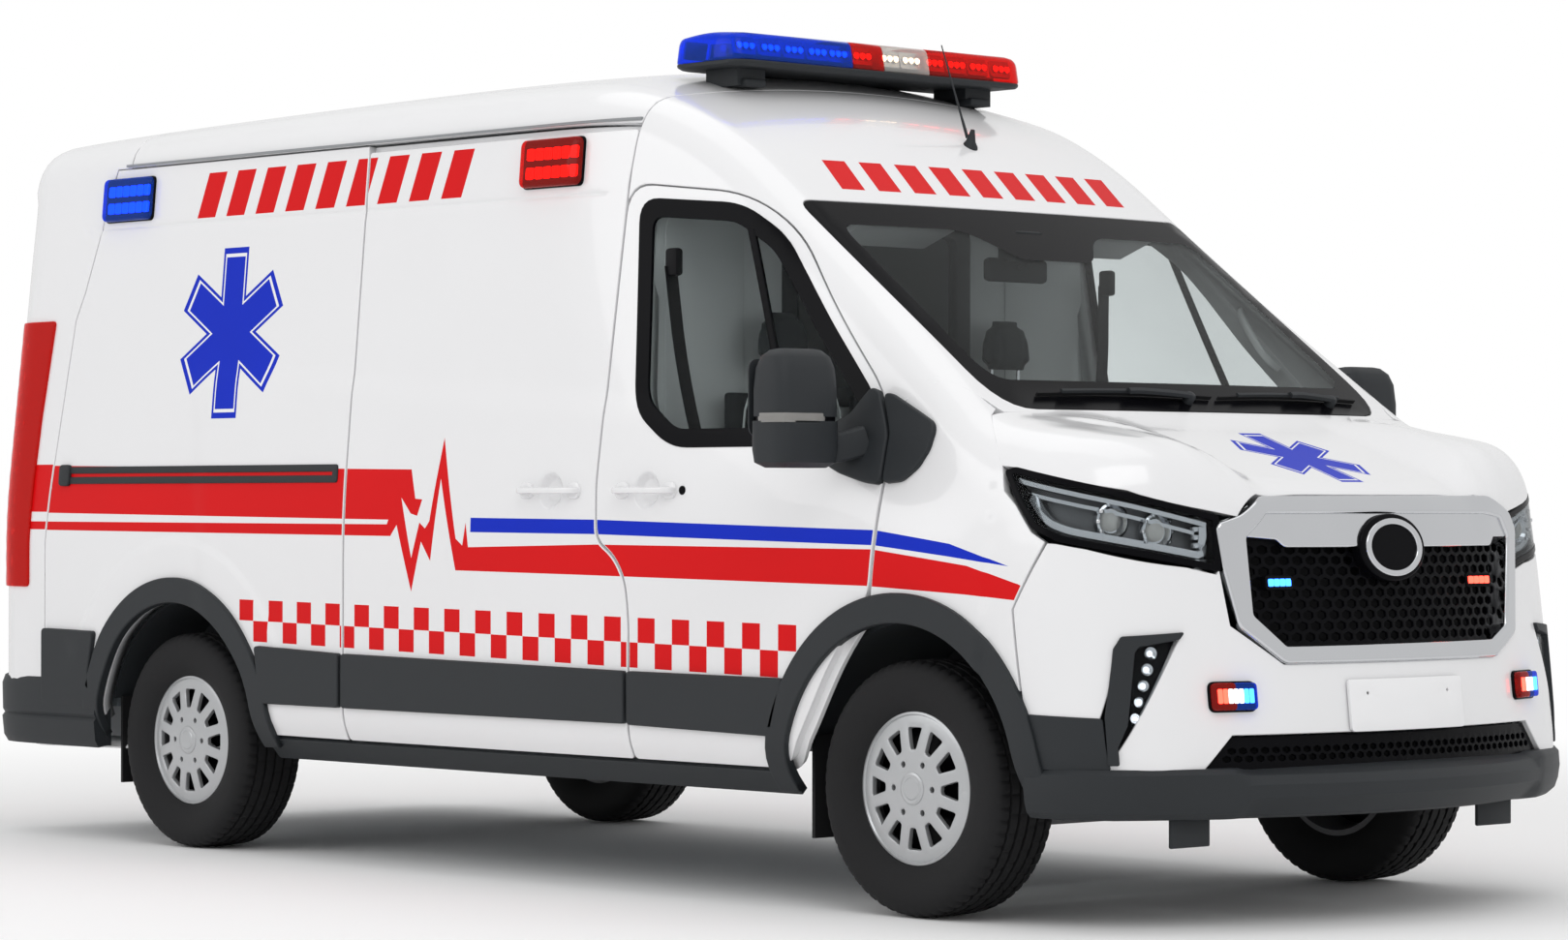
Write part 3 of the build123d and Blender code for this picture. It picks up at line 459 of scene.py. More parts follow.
def rounded(points, radius, count=6):
    """A closed outline with its corners rounded; radius may be a list."""
    p = np.array(points, float)
    n = len(p)
    radii = radius if isinstance(radius, (list, tuple)) else [radius] * n
    out = []
    for i in range(n):
        a, b, c = p[i - 1], p[i], p[(i + 1) % n]
        la, lc = np.linalg.norm(a - b), np.linalg.norm(c - b)
        t = min(radii[i], la * 0.48, lc * 0.48)
        if t < 0.8:
            out.append(b)
            continue
        q, r = b + (a - b) / la * t, b + (c - b) / lc * t
        for k in range(count + 1):
            s = k / count
            out.append((1 - s) ** 2 * q + 2 * s * (1 - s) * b + s * s * r)
    return np.array(out)


def dense(points, spacing, closed=True):
    """An outline with no edge longer than spacing."""
    p = np.array(points, float)
    out = []
    last = len(p) if closed else len(p) - 1
    for i in range(last):
        a, b = p[i], p[(i + 1) % len(p)]
        m = max(1, int(ceil(np.linalg.norm(b - a) / spacing)))
        out += [a + (b - a) * k / m for k in range(m)]
    if not closed:
        out.append(p[-1])
    return np.array(out)


def contains(loop, pts):
    """Which points lie inside a closed loop."""
    x, y = pts[:, 0], pts[:, 1]
    inside = np.zeros(len(pts), bool)
    for (x0, y0), (x1, y1) in zip(loop, np.roll(loop, -1, 0)):
        cross = (y0 > y) != (y1 > y)
        if not cross.any():
            continue
        t = (x1 - x0) * (y - y0) / ((y1 - y0) or 1e-9) + x0
        inside ^= cross & (x < t)
    return inside


def near(loop, pts, gap):
    """Which points lie closer than gap to the loop's corners."""
    out = np.zeros(len(pts), bool)
    for start in range(0, len(loop), 64):
        d = pts[:, None, :] - loop[None, start:start + 64, :]
        out |= (np.einsum("ijk,ijk->ij", d, d) < gap * gap).any(1)
    return out


def triangulate(outline, holes, regions, creases, spacing):
    """Triangles that fill an outline, split along every region and crease.

    Gives the points, the triangles and, for each, the material number of its region.
    """
    pts, edges, faces, tags = [], [], [], []
    lines = []

    def loop(points, tag):
        start = len(pts)
        if turning(points) < 0:
            points = points[::-1]
        pts.extend(map(tuple, points))
        faces.append(list(range(start, len(pts))))
        tags.append(tag)
        lines.append(np.array(points))

    loop(dense(outline, spacing), 0)
    for hole in holes:
        loop(dense(hole, spacing), -1)
    for points, tag in regions:
        loop(dense(points, spacing), tag)
    for line in creases:
        start = len(pts)
        line = dense(line, spacing, closed=False)
        pts.extend(map(tuple, line))
        edges += [(i, i + 1) for i in range(start, len(pts) - 1)]
        lines.append(line)
    low, high = outline.min(0), outline.max(0)
    us = np.arange(low[0] + spacing / 2, high[0], spacing)
    vs = np.arange(low[1] + spacing / 2, high[1], spacing * 0.87)
    if len(us) and len(vs):
        grid = np.array([(u + (k % 2) * spacing / 2, v) for k, v in enumerate(vs) for u in us])
        keep = contains(lines[0], grid)
        for hole in lines[1:1 + len(holes)]:
            keep &= ~contains(hole, grid)
        grid = grid[keep]
        for line in lines:
            if len(grid):
                grid = grid[~near(line, grid, spacing * 0.55)]
        pts.extend(map(tuple, grid))
    out = delaunay_2d_cdt([Vector(p) for p in pts], edges, faces, 0, 1e-3, True)
    verts = np.array([tuple(v) for v in out[0]])
    tris, marks = [], []
    for face, owners in zip(out[2], out[5]):
        named = [tags[o] for o in owners]
        if 0 not in named or -1 in named:
            continue
        tri = list(face)
        a, b, c = verts[tri[0]], verts[tri[1]], verts[tri[2]]
        cross = (b[0] - a[0]) * (c[1] - a[1]) - (b[1] - a[1]) * (c[0] - a[0])
        if abs(cross) < 1e-6:
            continue
        if cross < 0:
            tri.reverse()
        tris.append(tri)
        best = [(o, tags[o]) for o in owners if tags[o] > 0]
        marks.append(max(best)[1] if best else 0)
    used = sorted({i for t in tris for i in t})
    index = {v: i for i, v in enumerate(used)}
    return verts[used], [[index[i] for i in t] for t in tris], marks


def border_loops(tris):
    """Closed loops of edges that belong to one triangle, each in its triangle's direction."""
    count = {}
    for t in tris:
        for a, b in zip(t, t[1:] + t[:1]):
            count[(a, b)] = count.get((a, b), 0) + 1
    follow = {}
    for a, b in count:
        if (b, a) not in count:
            follow.setdefault(a, []).append(b)
    loops = []
    while follow:
        start = next(iter(follow))
        line = [start]
        here = start
        while here in follow:
            nxt = follow[here].pop()
            if not follow[here]:
                del follow[here]
            if nxt == start:
                break
            line.append(nxt)
            here = nxt
        if len(line) > 2:
            loops.append(line)
    return loops


# ---- objects ----
# what a node shows as, by its material slot
FINISH = {
    "paint_white": "paint", "window_glass": "glass", "lamp_clear": "lens_clear", "black_plastic": "trim",
    "bright_chrome": "chrome", "gloss_black": "gloss_black", "lamp_red": "lens_red", "lamp_blue": "lens_blue",
    "floor_vinyl": "vinyl", "chassis_steel": "steel", "engine_metal": "steel", "cabin_plastic": "cab_grey_and_painted_light",
    "dash_plastic": "cab_dark", "seat_fabric": "cloth", "black_rubber": "rubber", "tyre_rubber": "rubber",
    "wheel_silver": "silver",
}


def to_left(text):
    """The left-hand name of a right-hand piece, node or body; any other name as it is."""
    return text and (text[:-2] + "_l" if text.endswith("_r") else text.replace("right", "left"))


def make_object(name, verts, faces, mats, body="body", marks=None, normals=None, node=None,
                mirror=False):
    """A mesh piece from points in millimetres, riding on a body."""
    v = np.array(verts, float)
    faces = [list(f) for f in faces]
    if mirror:
        v[:, 1] *= -1
        faces = [f[::-1] for f in faces]
        if normals is not None:
            normals = normals * (1, -1, 1)
    mesh = bpy.data.meshes.new(name)
    mesh.from_pydata((v * MM).tolist(), [], faces)
    for m in mats:
        mesh.materials.append(materials[m])
    mesh.polygons.foreach_set("material_index", np.array(marks, np.int32))
    mesh.polygons.foreach_set("use_smooth", [True] * len(mesh.polygons))
    mesh.update()
    if normals is not None:
        mesh.normals_split_custom_set_from_vertices(normals.tolist())
    obj = bpy.data.objects.new(name, mesh)
    scene.collection.objects.link(obj)
    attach(obj, body)
    if node:
        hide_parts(node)
    return obj


def join_rows(a, b, way=1):
    """Faces between two closed rows of equally many corners; way -1 turns them over."""
    out = []
    for k in range(len(a)):
        i, j = (k, (k + 1) % len(a))[::way]
        out.append([int(a[i]), int(a[j]), int(b[j]), int(b[i])])
    return out


def shell(view, outline, holes=(), regions=(), creases=(), spacing=30.0, level=0.0, depth=20.0, roll=3.0,
          thick=None, inner=0):
    """A curved plate: outer skin, rolled edges, sides and inner skin, as one closed mesh.

    level lifts it off the view's surface, depth is its edge's height, thick how far in the inner
    skin lies, if not at that depth, and inner that skin's material number.
    """
    uv, tris, marks = triangulate(outline, holes, regions, creases, spacing)
    p, n = view.place(uv)
    count = len(uv)
    outer = p + n * level
    verts = [outer, p + n * (level - (depth if thick is None else thick))]
    normals = [n, -n]
    faces = tris + [[i + count for i in t[::-1]] for t in tris]
    marks = marks + [inner] * len(tris)
    total = 2 * count
    steps = [(roll * sin(a), roll * (1 - cos(a)), a) for a in (radians(30), radians(60), radians(90))]
    steps.append((roll, max(depth - roll * 0.3, roll * 1.2), radians(90)))
    for line in border_loops(tris):
        q = uv[line]
        a, b = np.roll(q, 1, 0), np.roll(q, -1, 0)
        e1 = (q - a) / np.maximum(np.linalg.norm(q - a, axis=1), 1e-9)[:, None]
        e2 = (b - q) / np.maximum(np.linalg.norm(b - q, axis=1), 1e-9)[:, None]
        m = np.stack([e1[:, 1] + e2[:, 1], -e1[:, 0] - e2[:, 0]], 1)
        m *= (2.0 / np.maximum(np.sum(m * m, 1), 0.8))[:, None]
        out = view.place(q + m)[0] - p[line]
        out -= np.sum(out * n[line], 1)[:, None] * n[line]
        size = np.linalg.norm(out, axis=1)[:, None]
        grow = np.clip(np.linalg.norm(m, axis=1)[:, None], 1.0, 1.6)
        out = out / np.maximum(size, 1e-9) * grow
        previous = np.array(line)
        for off, drop, angle in steps:
            verts.append(outer[line] + out * off - n[line] * drop)
            normals.append(n[line] * cos(angle) + out * sin(angle))
            current = np.arange(total, total + len(line))
            faces += join_rows(previous, current, -1)
            previous = current
            total += len(line)
        faces += join_rows(previous, np.array(line) + count, -1)
        marks += [0] * len(line) * len(steps) + [inner] * len(line)
    return np.vstack(verts), faces, marks, np.vstack(normals)


def panel(name, view, outline, mats, body="body", slot=None, node=None, mirror=False, pair=None, **extra):
    """A shell piece, and its mirror image if pair; None pairs those whose name ends in _right."""
    v, f, m, n = shell(view, outline, **extra)
    make_object(name, v, f, mats, body, m, n, node, mirror)
    if name.endswith("_right") if pair is None else pair:
        make_object(to_left(name), v, f, mats, to_left(body), m, n, to_left(node), True)


# ---- livery of the sides: bands, pulse line, chequers and emblem, as (outline, material number) ----
RED, BLUE, WHITE = 1, 2, 3
SKIN = ["paint", "decal_red", "decal_blue", "decal_white", "under_paint", "cab_grey_and_painted_light"]
INNER, CAB = 4, 5


def chequers():
    """Two rows of squares that sink slightly towards the front."""
    out = []
    pitch = 148.4
    width = pitch / 2
    for k in range(18):
        for row in (0, 1):
            x0 = -1242 + k * pitch + row * width
            x1 = x0 + width
            if x1 > 1385:
                continue
            corners = []
            for x, edge in ((x0, row), (x1, row), (x1, row + 1), (x0, row + 1)):
                lines = (811 - 0.0114 * (x + 1242), 745 - 0.0142 * (x + 1242), 680 - 0.0180 * (x + 1242))
                corners.append((x, lines[edge]))
            out.append((corners, RED))
    return out


def emblem(cx, cz, size):
    """A plain six-armed medical cross with a white inline, nothing on it."""
    out = []
    for grow, tag in ((1.0, BLUE), (0.93, WHITE), (0.89, BLUE)):
        arm, half = size * grow, size * 0.245 * (1 - (1 - grow) * 2.2)
        pts = []
        for k in range(6):
            a = radians(60 * k)
            d = (sin(a), cos(a))
            s = (cos(a), -sin(a))
            inner = half / tan(radians(30))
            pts += [(d[0] * inner - s[0] * half, d[1] * inner - s[1] * half),
                    (d[0] * arm - s[0] * half, d[1] * arm - s[1] * half),
                    (d[0] * arm + s[0] * half, d[1] * arm + s[1] * half)]
        out.append(([(cx + x, cz + z) for x, z in pts], tag))
    return out


LIVERY = [
    # upper red band, with the pulse line's first strokes
    ([(-2700, 1246), (-378, 1219), (-352, 1130), (-318, 1128), (-340, 1078), (-372, 1085),
      (-432, 1144), (-480, 1066), (-2700, 1087)], RED),
    ([(-2700, 1055), (-489, 1052), (-432, 1170), (-365, 950), (-328, 1058), (-300, 1040), (-280, 1062),
      (-227, 1314), (-150, 1010), (-118, 990), (-104, 1059), (-90, 985), (497, 997), (1647, 992), (2003, 951),
      (2190, 905), (2355, 838), (2190, 862), (2003, 875), (1628, 893), (480, 908), (-150, 915),
      (-232, 1190), (-272, 942), (-318, 1000), (-365, 848), (-440, 1050), (-470, 1016), (-2700, 1028)], RED),
    ([(-81, 1073), (488, 1069), (1654, 1044), (1931, 1009), (2153, 951), (1931, 975), (1654, 1003),
      (488, 1027), (-81, 1030)], BLUE),
]
LIVERY += chequers()


def slant_bars(low, high, bottom, top, count):
    """A plain row of slanted bars."""
    out = []
    pitch = (high - low) / count
    for k in range(count):
        u, w, s = low + k * pitch, pitch * 0.62, 0.35 * (top - bottom)
        out.append(([(u, bottom), (u + w, bottom), (u + w + s, top), (u + s, top)], RED))
    return out


LIVERY += slant_bars(-1610, -175, 2042, 2188, 9)
LIVERY += emblem(-1377, 1663, 275)


def livery(low, high):
    """The livery's outlines that reach between two x."""
    return [(p, t) for p, t in LIVERY if max(q[0] for q in p) > low and min(q[0] for q in p) < high]


def arc(cx, cz, radius, angles):
    """Points of an arc at angles in degrees from +u."""
    return [(cx + radius * cos(radians(a)), cz + radius * sin(radians(a))) for a in angles]


def ring(cx, cz, radius, start=0.0, stop=360.0, count=48):
    """Evenly spaced points of an arc, both ends among them."""
    return arc(cx, cz, radius, [start + (stop - start) * k / count for k in range(count + 1)])


def disc(cx, cz, radius, count=14):
    """The closed outline of a circle."""
    return np.array(ring(cx, cz, radius, count=count)[:-1])


def recess_creases(low, high):
    """Crease lines along the stamped field of the sides."""
    out = []
    for gap in (-14, -5, 4, 12):
        q = rounded(inset(RECESS, gap), 75)
        line = []
        for p in dense(np.vstack([q, q[:1]]), 30, closed=False):
            if low < p[0] < high:
                line.append(p)
                continue
            if len(line) > 1:
                out.append(np.array(line))
            line = []
        if len(line) > 1:
            out.append(np.array(line))
    a, b = max(low, -2240), min(high, 430)
    return out + [np.array([(a, 2022 + dz - 0.004 * a), (b, 2022 + dz - 0.004 * b)]) for dz in (-9, -4, 0, 4, 9)]


def dish(cx):
    """Crease rings of a handle's dish."""
    return [np.array(ring(cx, HANDLE_Z, r, count=28)) for r in (30, 37, 44, 51, 58)]


# columns: x, z
door_seam = [(645, 378), (645, 786), (628, 896), (580, 964), (500, 1010), (490, 1169), (525, 2050)]
door_outline = door_seam + [(984, 2000), (1190, 1880), (1405, 1625), (1600, 1430), (1663, 1300), (1663, 1169),
                            (1643, 857), (1500, 700), (1310, 378)]
door_window = [(650, 1400), (800, 1300), (1560, 1300), (1560, 1390), (1350, 1600), (1130, 1850), (960, 1945),
               (600, 1975)]
EDGE = SHUT + 3


# rear quarter: from the sliding door's seam to the rear seam, round the rear wheel's arch
quarter = [(-708, GUTTER_Z), (-708, 378)] + arc(REAR_AXLE, TYRE_R, ARCH_R, np.linspace(4, 176, 40)) \
    + [(-2376, 378), (-2376, 986), (-2275, 1729), (-2230, 1824), (-2088, GUTTER_Z)]
panel("quarter_skin_right", SIDE, inset(quarter, EDGE), SKIN, node="quarter_panels",
      regions=livery(-2800, -700), creases=recess_creases(-2360, -722)
      + [np.array(ring(REAR_AXLE, TYRE_R, r, 20, 150)) for r in (630, 640, 650, 660, 668)], spacing=34,
      depth=26, thick=58, inner=INNER)

slide = [(-708, 378)] + door_seam + [(548, 2209), (-708, 2209)]
slide_radii = [10, 10, 60, 60, 60, 40, 20, 10, 10, 10]
panel("sliding_door_skin", SIDE, rounded(inset(slide, EDGE), slide_radii), SKIN, node="sliding_door",
      regions=livery(-715, 660), creases=recess_creases(-694, 560) + dish(HANDLE_XS[0]), spacing=34, depth=26,
      thick=58, inner=INNER)
panel("mid_skin_left", SIDE, rounded(inset(slide, EDGE), slide_radii), SKIN, node="mid_panel_left",
      regions=livery(-715, 660), creases=recess_creases(-694, 560), spacing=34, depth=26, thick=58, inner=INNER,
      mirror=True)

# front doors
door_radii = [10, 60, 60, 60, 40, 20, 90, 160, 200, 200, 120, 60, 20, 60, 200, 60]
panel("door_skin_right", SIDE, rounded(inset(door_outline, EDGE), door_radii), SKIN, "front_door_r",
      node="front_door_right", holes=[rounded(inset(door_window, -2), 60)], regions=livery(480, 1700),
      creases=dish(HANDLE_XS[1]), depth=30, thick=64, inner=CAB)
panel("door_pane_right", SIDE, rounded(inset(door_window, 5), 55), ["glass"], "front_door_r",
      node="door_glass_right", spacing=60, level=-6, depth=4.5, roll=1)
panel("door_window_seal_right", SIDE, rounded(inset(door_window, -24), 75), ["gloss_black"], "front_door_r",
      holes=[rounded(inset(door_window, 26), 45)], spacing=40, level=2.0, depth=10, roll=2)

# painted flanges round the doors' openings
panel("door_jamb_right", SIDE, rounded(inset(door_outline, -16), door_radii), ["paint"],
      holes=[rounded(inset(door_outline, 24), door_radii)], spacing=70, level=-26, depth=16, roll=2)
panel("slide_jamb_right", SIDE, rounded(inset(slide, -14), slide_radii), ["paint"],
      holes=[rounded(inset(slide, 24), slide_radii)], spacing=80, level=-26, depth=16, roll=2, pair=False)

# roof and its rear header
ROOF = RoofView()


def gutter(x, side=-1):
    """The point of the gutter line at x."""
    return (x, side * float(side_y(np.array([x]), np.array([GUTTER_Z]))[0]), GUTTER_Z)


def over_middle(points):
    """Points mirrored to the other side."""
    return [(x, -y, z) for x, y, z in points]


def roof_arc(x):
    """Points over the roof from the right-hand gutter to the left-hand one, on the skin."""
    count = 24
    v0 = ROOF.flat([gutter(x)])[0][1]
    return ROOF.place([(x, v0 * (1 - 2 * k / count)) for k in range(count + 1)])[0]


ROOF_REAR_X, ROOF_FRONT_X = -2010, 548
rear_arc = roof_arc(ROOF_REAR_X)
front_arc = roof_arc(ROOF_FRONT_X)
sides = [gutter(x, side=1) for x in np.linspace(ROOF_FRONT_X, ROOF_REAR_X, 30)[1:-1]]
roof_loop = list(rear_arc) + sides[::-1] + list(front_arc[::-1]) + over_middle(sides)
panel("roof_skin", ROOF, inset(ROOF.flat(roof_loop), 3), SKIN, node="roof", spacing=48, thick=50, inner=INNER)

REAR = CentreView((-1000, 0, 1300), (-1, 0, 0))
REAR_FACE = FrontView(-1500, -1.0)

rear_seam = [(-2376, 300), (-2376, 986), (-2275, 1729), (-2230, 1824), (-2088, GUTTER_Z)]
seam_right = list(side_points(dense(rear_seam, 25, closed=False)))
bottom = list(REAR_FACE.place([(y, 300.0) for y in np.linspace(-940, 940, 40)])[0])
frame_loop = seam_right + list(rear_arc) + over_middle(seam_right)[::-1] + bottom
door_hole = rounded([(-850, 500), (850, 500), (850, 2230), (-850, 2230)], 60)
hole3 = REAR_FACE.place(dense(door_hole, 25))[0]
rear_regions = []
for points, tag in LIVERY[:2]:
    low, high = sorted({z for x, z in points if x < -2600})
    for side in (-1, 1):
        band = [(-2640, low), (-2340, low), (-2340, high), (-2640, high)]
        p3 = side_points(dense(band, 25))
        p3[:, 1] *= -side
        rear_regions.append((REAR.flat(p3), tag))
panel("rear_frame_skin", REAR, inset(REAR.flat(frame_loop), 2), SKIN, node="rear_frame",
      holes=[inset(REAR.flat(hole3), -2)], regions=rear_regions, spacing=24, depth=26, thick=50, inner=INNER)

# rear doors
rear_window = [(110, 1380), (760, 1380), (760, 2080), (110, 2080)]
rear_leaf = [(0, 546), (850, 546), (850, 2230), (0, 2230)]
rear_bands = [([(-20, z0), (900, z0), (900, z1), (-20, z1)], RED) for z0, z1 in ((1087, 1246), (1028, 1055))]
panel("rear_door_skin_right", REAR_FACE, rounded(inset(rear_leaf, 6), [6, 55, 55, 6]), SKIN, "rear_door_r",
      node="rear_door_right", holes=[rounded(inset(rear_window, -2), 70)], regions=rear_bands, spacing=40,
      depth=30, thick=64, inner=CAB)
panel("rear_pane_right", REAR_FACE, rounded(inset(rear_window, 5), 66), ["glass"], "rear_door_r",
      node="rear_glass_right", spacing=80, level=-6, depth=4.5, roll=1)
panel("rear_window_seal_right", REAR_FACE, rounded(inset(rear_window, -12), 80), ["seal"], "rear_door_r",
      slot="gloss_black", holes=[rounded(inset(rear_window, 14), 60)], spacing=60, level=3.0, depth=10, roll=2)

# cab frame: header, pillars and cowl
CAB_VIEW = CentreView((300, 0, 1100), (0.62, 0, 0.78))
door_round = rounded(door_outline, door_radii)
corner_at = max(k for k, (x, z) in enumerate(door_round) if x < 560 and z > 1990)
door_top = [(551, GUTTER_Z), (532, 2092)]
door_top += [tuple(p) for p in door_round[corner_at - 5:] if p[1] > 1412 and p[0] > 524]
cab_right = list(side_points(dense(door_top, 20, closed=False)))
A_SEAM = [(1655, -955, 1372), (1690, -930, 1392), (1722, -905, 1420), (1752, -850, 1440)]


def snap(view, points):
    """Points moved along the view's rays onto the skin."""
    return view.place(view.flat(points))[0]


SCREEN = FrontView(900.0)
SCREEN_OUT = rounded([(-795, 1372), (795, 1372), (788, 1978), (-788, 1978)], [110, 110, 40, 40])
pillar = snap(CAB_VIEW, A_SEAM + [(1870, -815, 1392)])
cowl = snap(CAB_VIEW, [(1930, -800, 1358), (1962, -600, 1362), (1980, -300, 1364), (1984, 0, 1366)])
right_edge = list(pillar) + list(cowl)
cab_loop = cab_right[1:] + right_edge + over_middle(right_edge[::-1])[1:] + over_middle(cab_right[::-1])[:-1] \
    + list(roof_arc(552))[1:-1][::-1]
screen3 = SCREEN.place(dense(SCREEN_OUT, 25))[0]
front_bars = [(CAB_VIEW.flat(SCREEN.place(dense(points, 20))[0]), tag)
              for points, tag in slant_bars(-590, 640, 2016, 2108, 9)]
panel("cab_frame_skin", CAB_VIEW, inset(CAB_VIEW.flat(cab_loop), 3), SKIN + ["trim"], node="cab_frame",
      holes=[inset(CAB_VIEW.flat(screen3), -2)], regions=front_bars, spacing=34, depth=26, thick=45, inner=CAB)

FRIT_IN = rounded([(-735, 1455), (735, 1455), (728, 1905), (270, 1905), (150, 1820), (-150, 1820), (-270, 1905),
                   (-728, 1905)], [70, 70, 45, 60, 40, 40, 60, 45])
panel("windscreen_glass", SCREEN, inset(SCREEN_OUT, 3), ["gloss_black", "glass"], slot="window_glass",
      node="windscreen", regions=[(FRIT_IN, 1)], spacing=45, level=-1.5, depth=5, roll=1, inner=1)

# front wing, up to the screen
WING = CentreView((1500, 0, 700), (0.35, -0.85, 0.35))
arch = arc(FRONT_AXLE, TYRE_R, ARCH_R, np.linspace(9, 108.5, 30))
BONNET_SIDE = [(1955, -860, 1353), (2031, -921, 1284), (2083, -951, 1222)]
wing_side = [(2083, 1222), (2097, 1190), (2110, 1150), (2157, 1112), (2218, 1042), (2262, 1016), (2172, 839),
             (2216, 560), (2216, 420)]
low = side_points(dense([(1655, 1372), (1669, 1300), (1669, 1169), (1649, 857), (1602, 792)], 20, closed=False))
front = side_points(dense(wing_side, 20, closed=False))
arch3 = side_points(arch)
wing_loop = list(low[::-1]) + list(snap(WING, A_SEAM[1:] + [(1870, -815, 1392), (1930, -812, 1360)])) \
    + list(snap(WING, BONNET_SIDE)) + list(front[1:]) + list(arch3)
wing_uv = WING.flat(wing_loop)
wing_livery = []
for points, tag in livery(1600, 2400):
    q = dense(points, 20)
    q = q[(q[:, 0] > 1400)]
    wing_livery.append((WING.flat(side_points(q)), tag))
panel("wing_skin_right", WING, inset(wing_uv, 3), SKIN, node="fenders", regions=wing_livery, spacing=26,
      depth=26, thick=40, inner=INNER)

# bonnet
BONNET_VIEW = CentreView((2150, 0, 700), (0.25, 0, 1))
bonnet_side = side_points(dense([(2083, 1218), (2132, 1213), (2424, 1152), (2528, 1096)], 25, closed=False))
half = list(snap(BONNET_VIEW, BONNET_SIDE[:2])) + list(bonnet_side) \
    + list(front_points([(-545, 1083), (-455, 1142), (-300, 1142), (-150, 1142), (0, 1142)], 2200))
bonnet_loop = half + over_middle(half[::-1][1:])
bonnet_rear = [(1975, 600, 1350), (1988, 300, 1362), (1992, 0, 1364), (1988, -300, 1362), (1975, -600, 1350)]
bonnet_loop += list(snap(BONNET_VIEW, bonnet_rear))
bonnet_regions = []
for points, tag in emblem(0, 0, 188):
    q = dense(points, 20)
    p3 = np.stack([2295 - q[:, 1], q[:, 0], 1354 - 0.363 * (304 - q[:, 1])], 1)
    bonnet_regions.append((BONNET_VIEW.flat(p3), tag))
ridge = [snap(BONNET_VIEW, [(x, side * y, 1300) for x in np.linspace(2010, 2540, 20)])
         for side in (-1, 1) for y in (380, 470, 560, 640)]
panel("bonnet_skin", BONNET_VIEW, inset(BONNET_VIEW.flat(bonnet_loop), 3), SKIN, "bonnet_lid", node="bonnet",
      regions=bonnet_regions, creases=[BONNET_VIEW.flat(r) for r in ridge], spacing=34, depth=26, thick=40,
      inner=INNER)

# front bumper skin
NOSE = DrumView(1500.0, 1100.0)
under_lamp = [(2222, 420), (2222, 560), (2178, 839), (2268, 1012), (2292, 1010), (2363, 996), (2515, 949),
              (2544, 930)]
right3 = list(side_points(dense(under_lamp, 20, closed=False)))
grille_low = [(-612, 951), (-592, 796), (-436, 693), (436, 693), (592, 796), (612, 951)]
grille3 = list(front_points(dense(grille_low, 25, closed=False), 2200))
lip_line = [(-905, 424), (-700, 424), (-612, 512), (612, 512), (700, 424), (905, 424)]
lip3 = list(front_points(dense(lip_line, 25, closed=False), 2200))
bumper_loop = right3 + grille3 + over_middle(right3[::-1]) + lip3[::-1]
FOG = [(-880, 762), (-734, 774), (-738, 764), (-800, 655), (-902, 470), (-924, 440), (-932, 560)]
fog3 = front_points(dense(FOG, 20), 2000)
fog_holes = [NOSE.flat(fog3), NOSE.flat(fog3 * (1, -1, 1))]
panel("bumper_skin", NOSE, inset(NOSE.flat(bumper_loop), 3), SKIN + ["trim"], node="front_bumper",
      holes=fog_holes, spacing=26, depth=24, roll=4, thick=36, inner=INNER)

# ---- dark plastic along the sides ----
PROUD = 17.0


def cladding(name, points, body="body", radius=8, roll=5):
    """A dark strip that stands proud of the right-hand side."""
    panel(name, SIDE, rounded(inset(points, 3), radius), ["trim"], body, spacing=60, level=PROUD,
          depth=PROUD + 2, roll=roll)


for end, axle, first, last in (("front", FRONT_AXLE, -5, 182), ("rear", REAR_AXLE, 1, 179)):
    outline = ring(axle, TYRE_R, 522, first, last, 60) + ring(axle, TYRE_R, ARCH_R, first, last, 60)[::-1]
    panel("arch_trim_%s_right" % end, SIDE, np.array(outline), ["trim"], node="side_trim", level=PROUD,
          depth=30, roll=6)
cladding("band_rear_right", [(-1128, 486), (-716, 486), (-716, 650), (-1146, 664)])
cladding("band_door_right", [(-698, 486), (640, 486), (638, 634), (-698, 650)])
cladding("band_front_door_right", [(656, 484), (1262, 474), (1310, 632), (655, 634)], "front_door_r")
cladding("band_tail_right", [(-2370, 340), (-2060, 340), (-2098, 560), (-2060, 690), (-2370, 694)], radius=10,
         roll=6)
sill = [(-1150, 308), (1290, 308), (1290, 372), (-1150, 372)]
panel("sill_cover_right", SIDE, rounded(inset(sill, 2), 6), ["trim"], spacing=60, level=1.0, depth=24)

# ---- small shapes, collected into pieces ----
class PlaneView:
    """A flat plane: u along e1, v along e2; plates on it face e1 x e2."""

    def __init__(self, origin, e1, e2):
        self.o, self.e1, self.e2 = (np.array(v, float) for v in (origin, e1, e2))
        self.n = np.cross(self.e1, self.e2)

    def place(self, uv):
        p = self.o + uv[:, :1] * self.e1 + uv[:, 1:2] * self.e2
        return p, np.tile(self.n, (len(uv), 1))


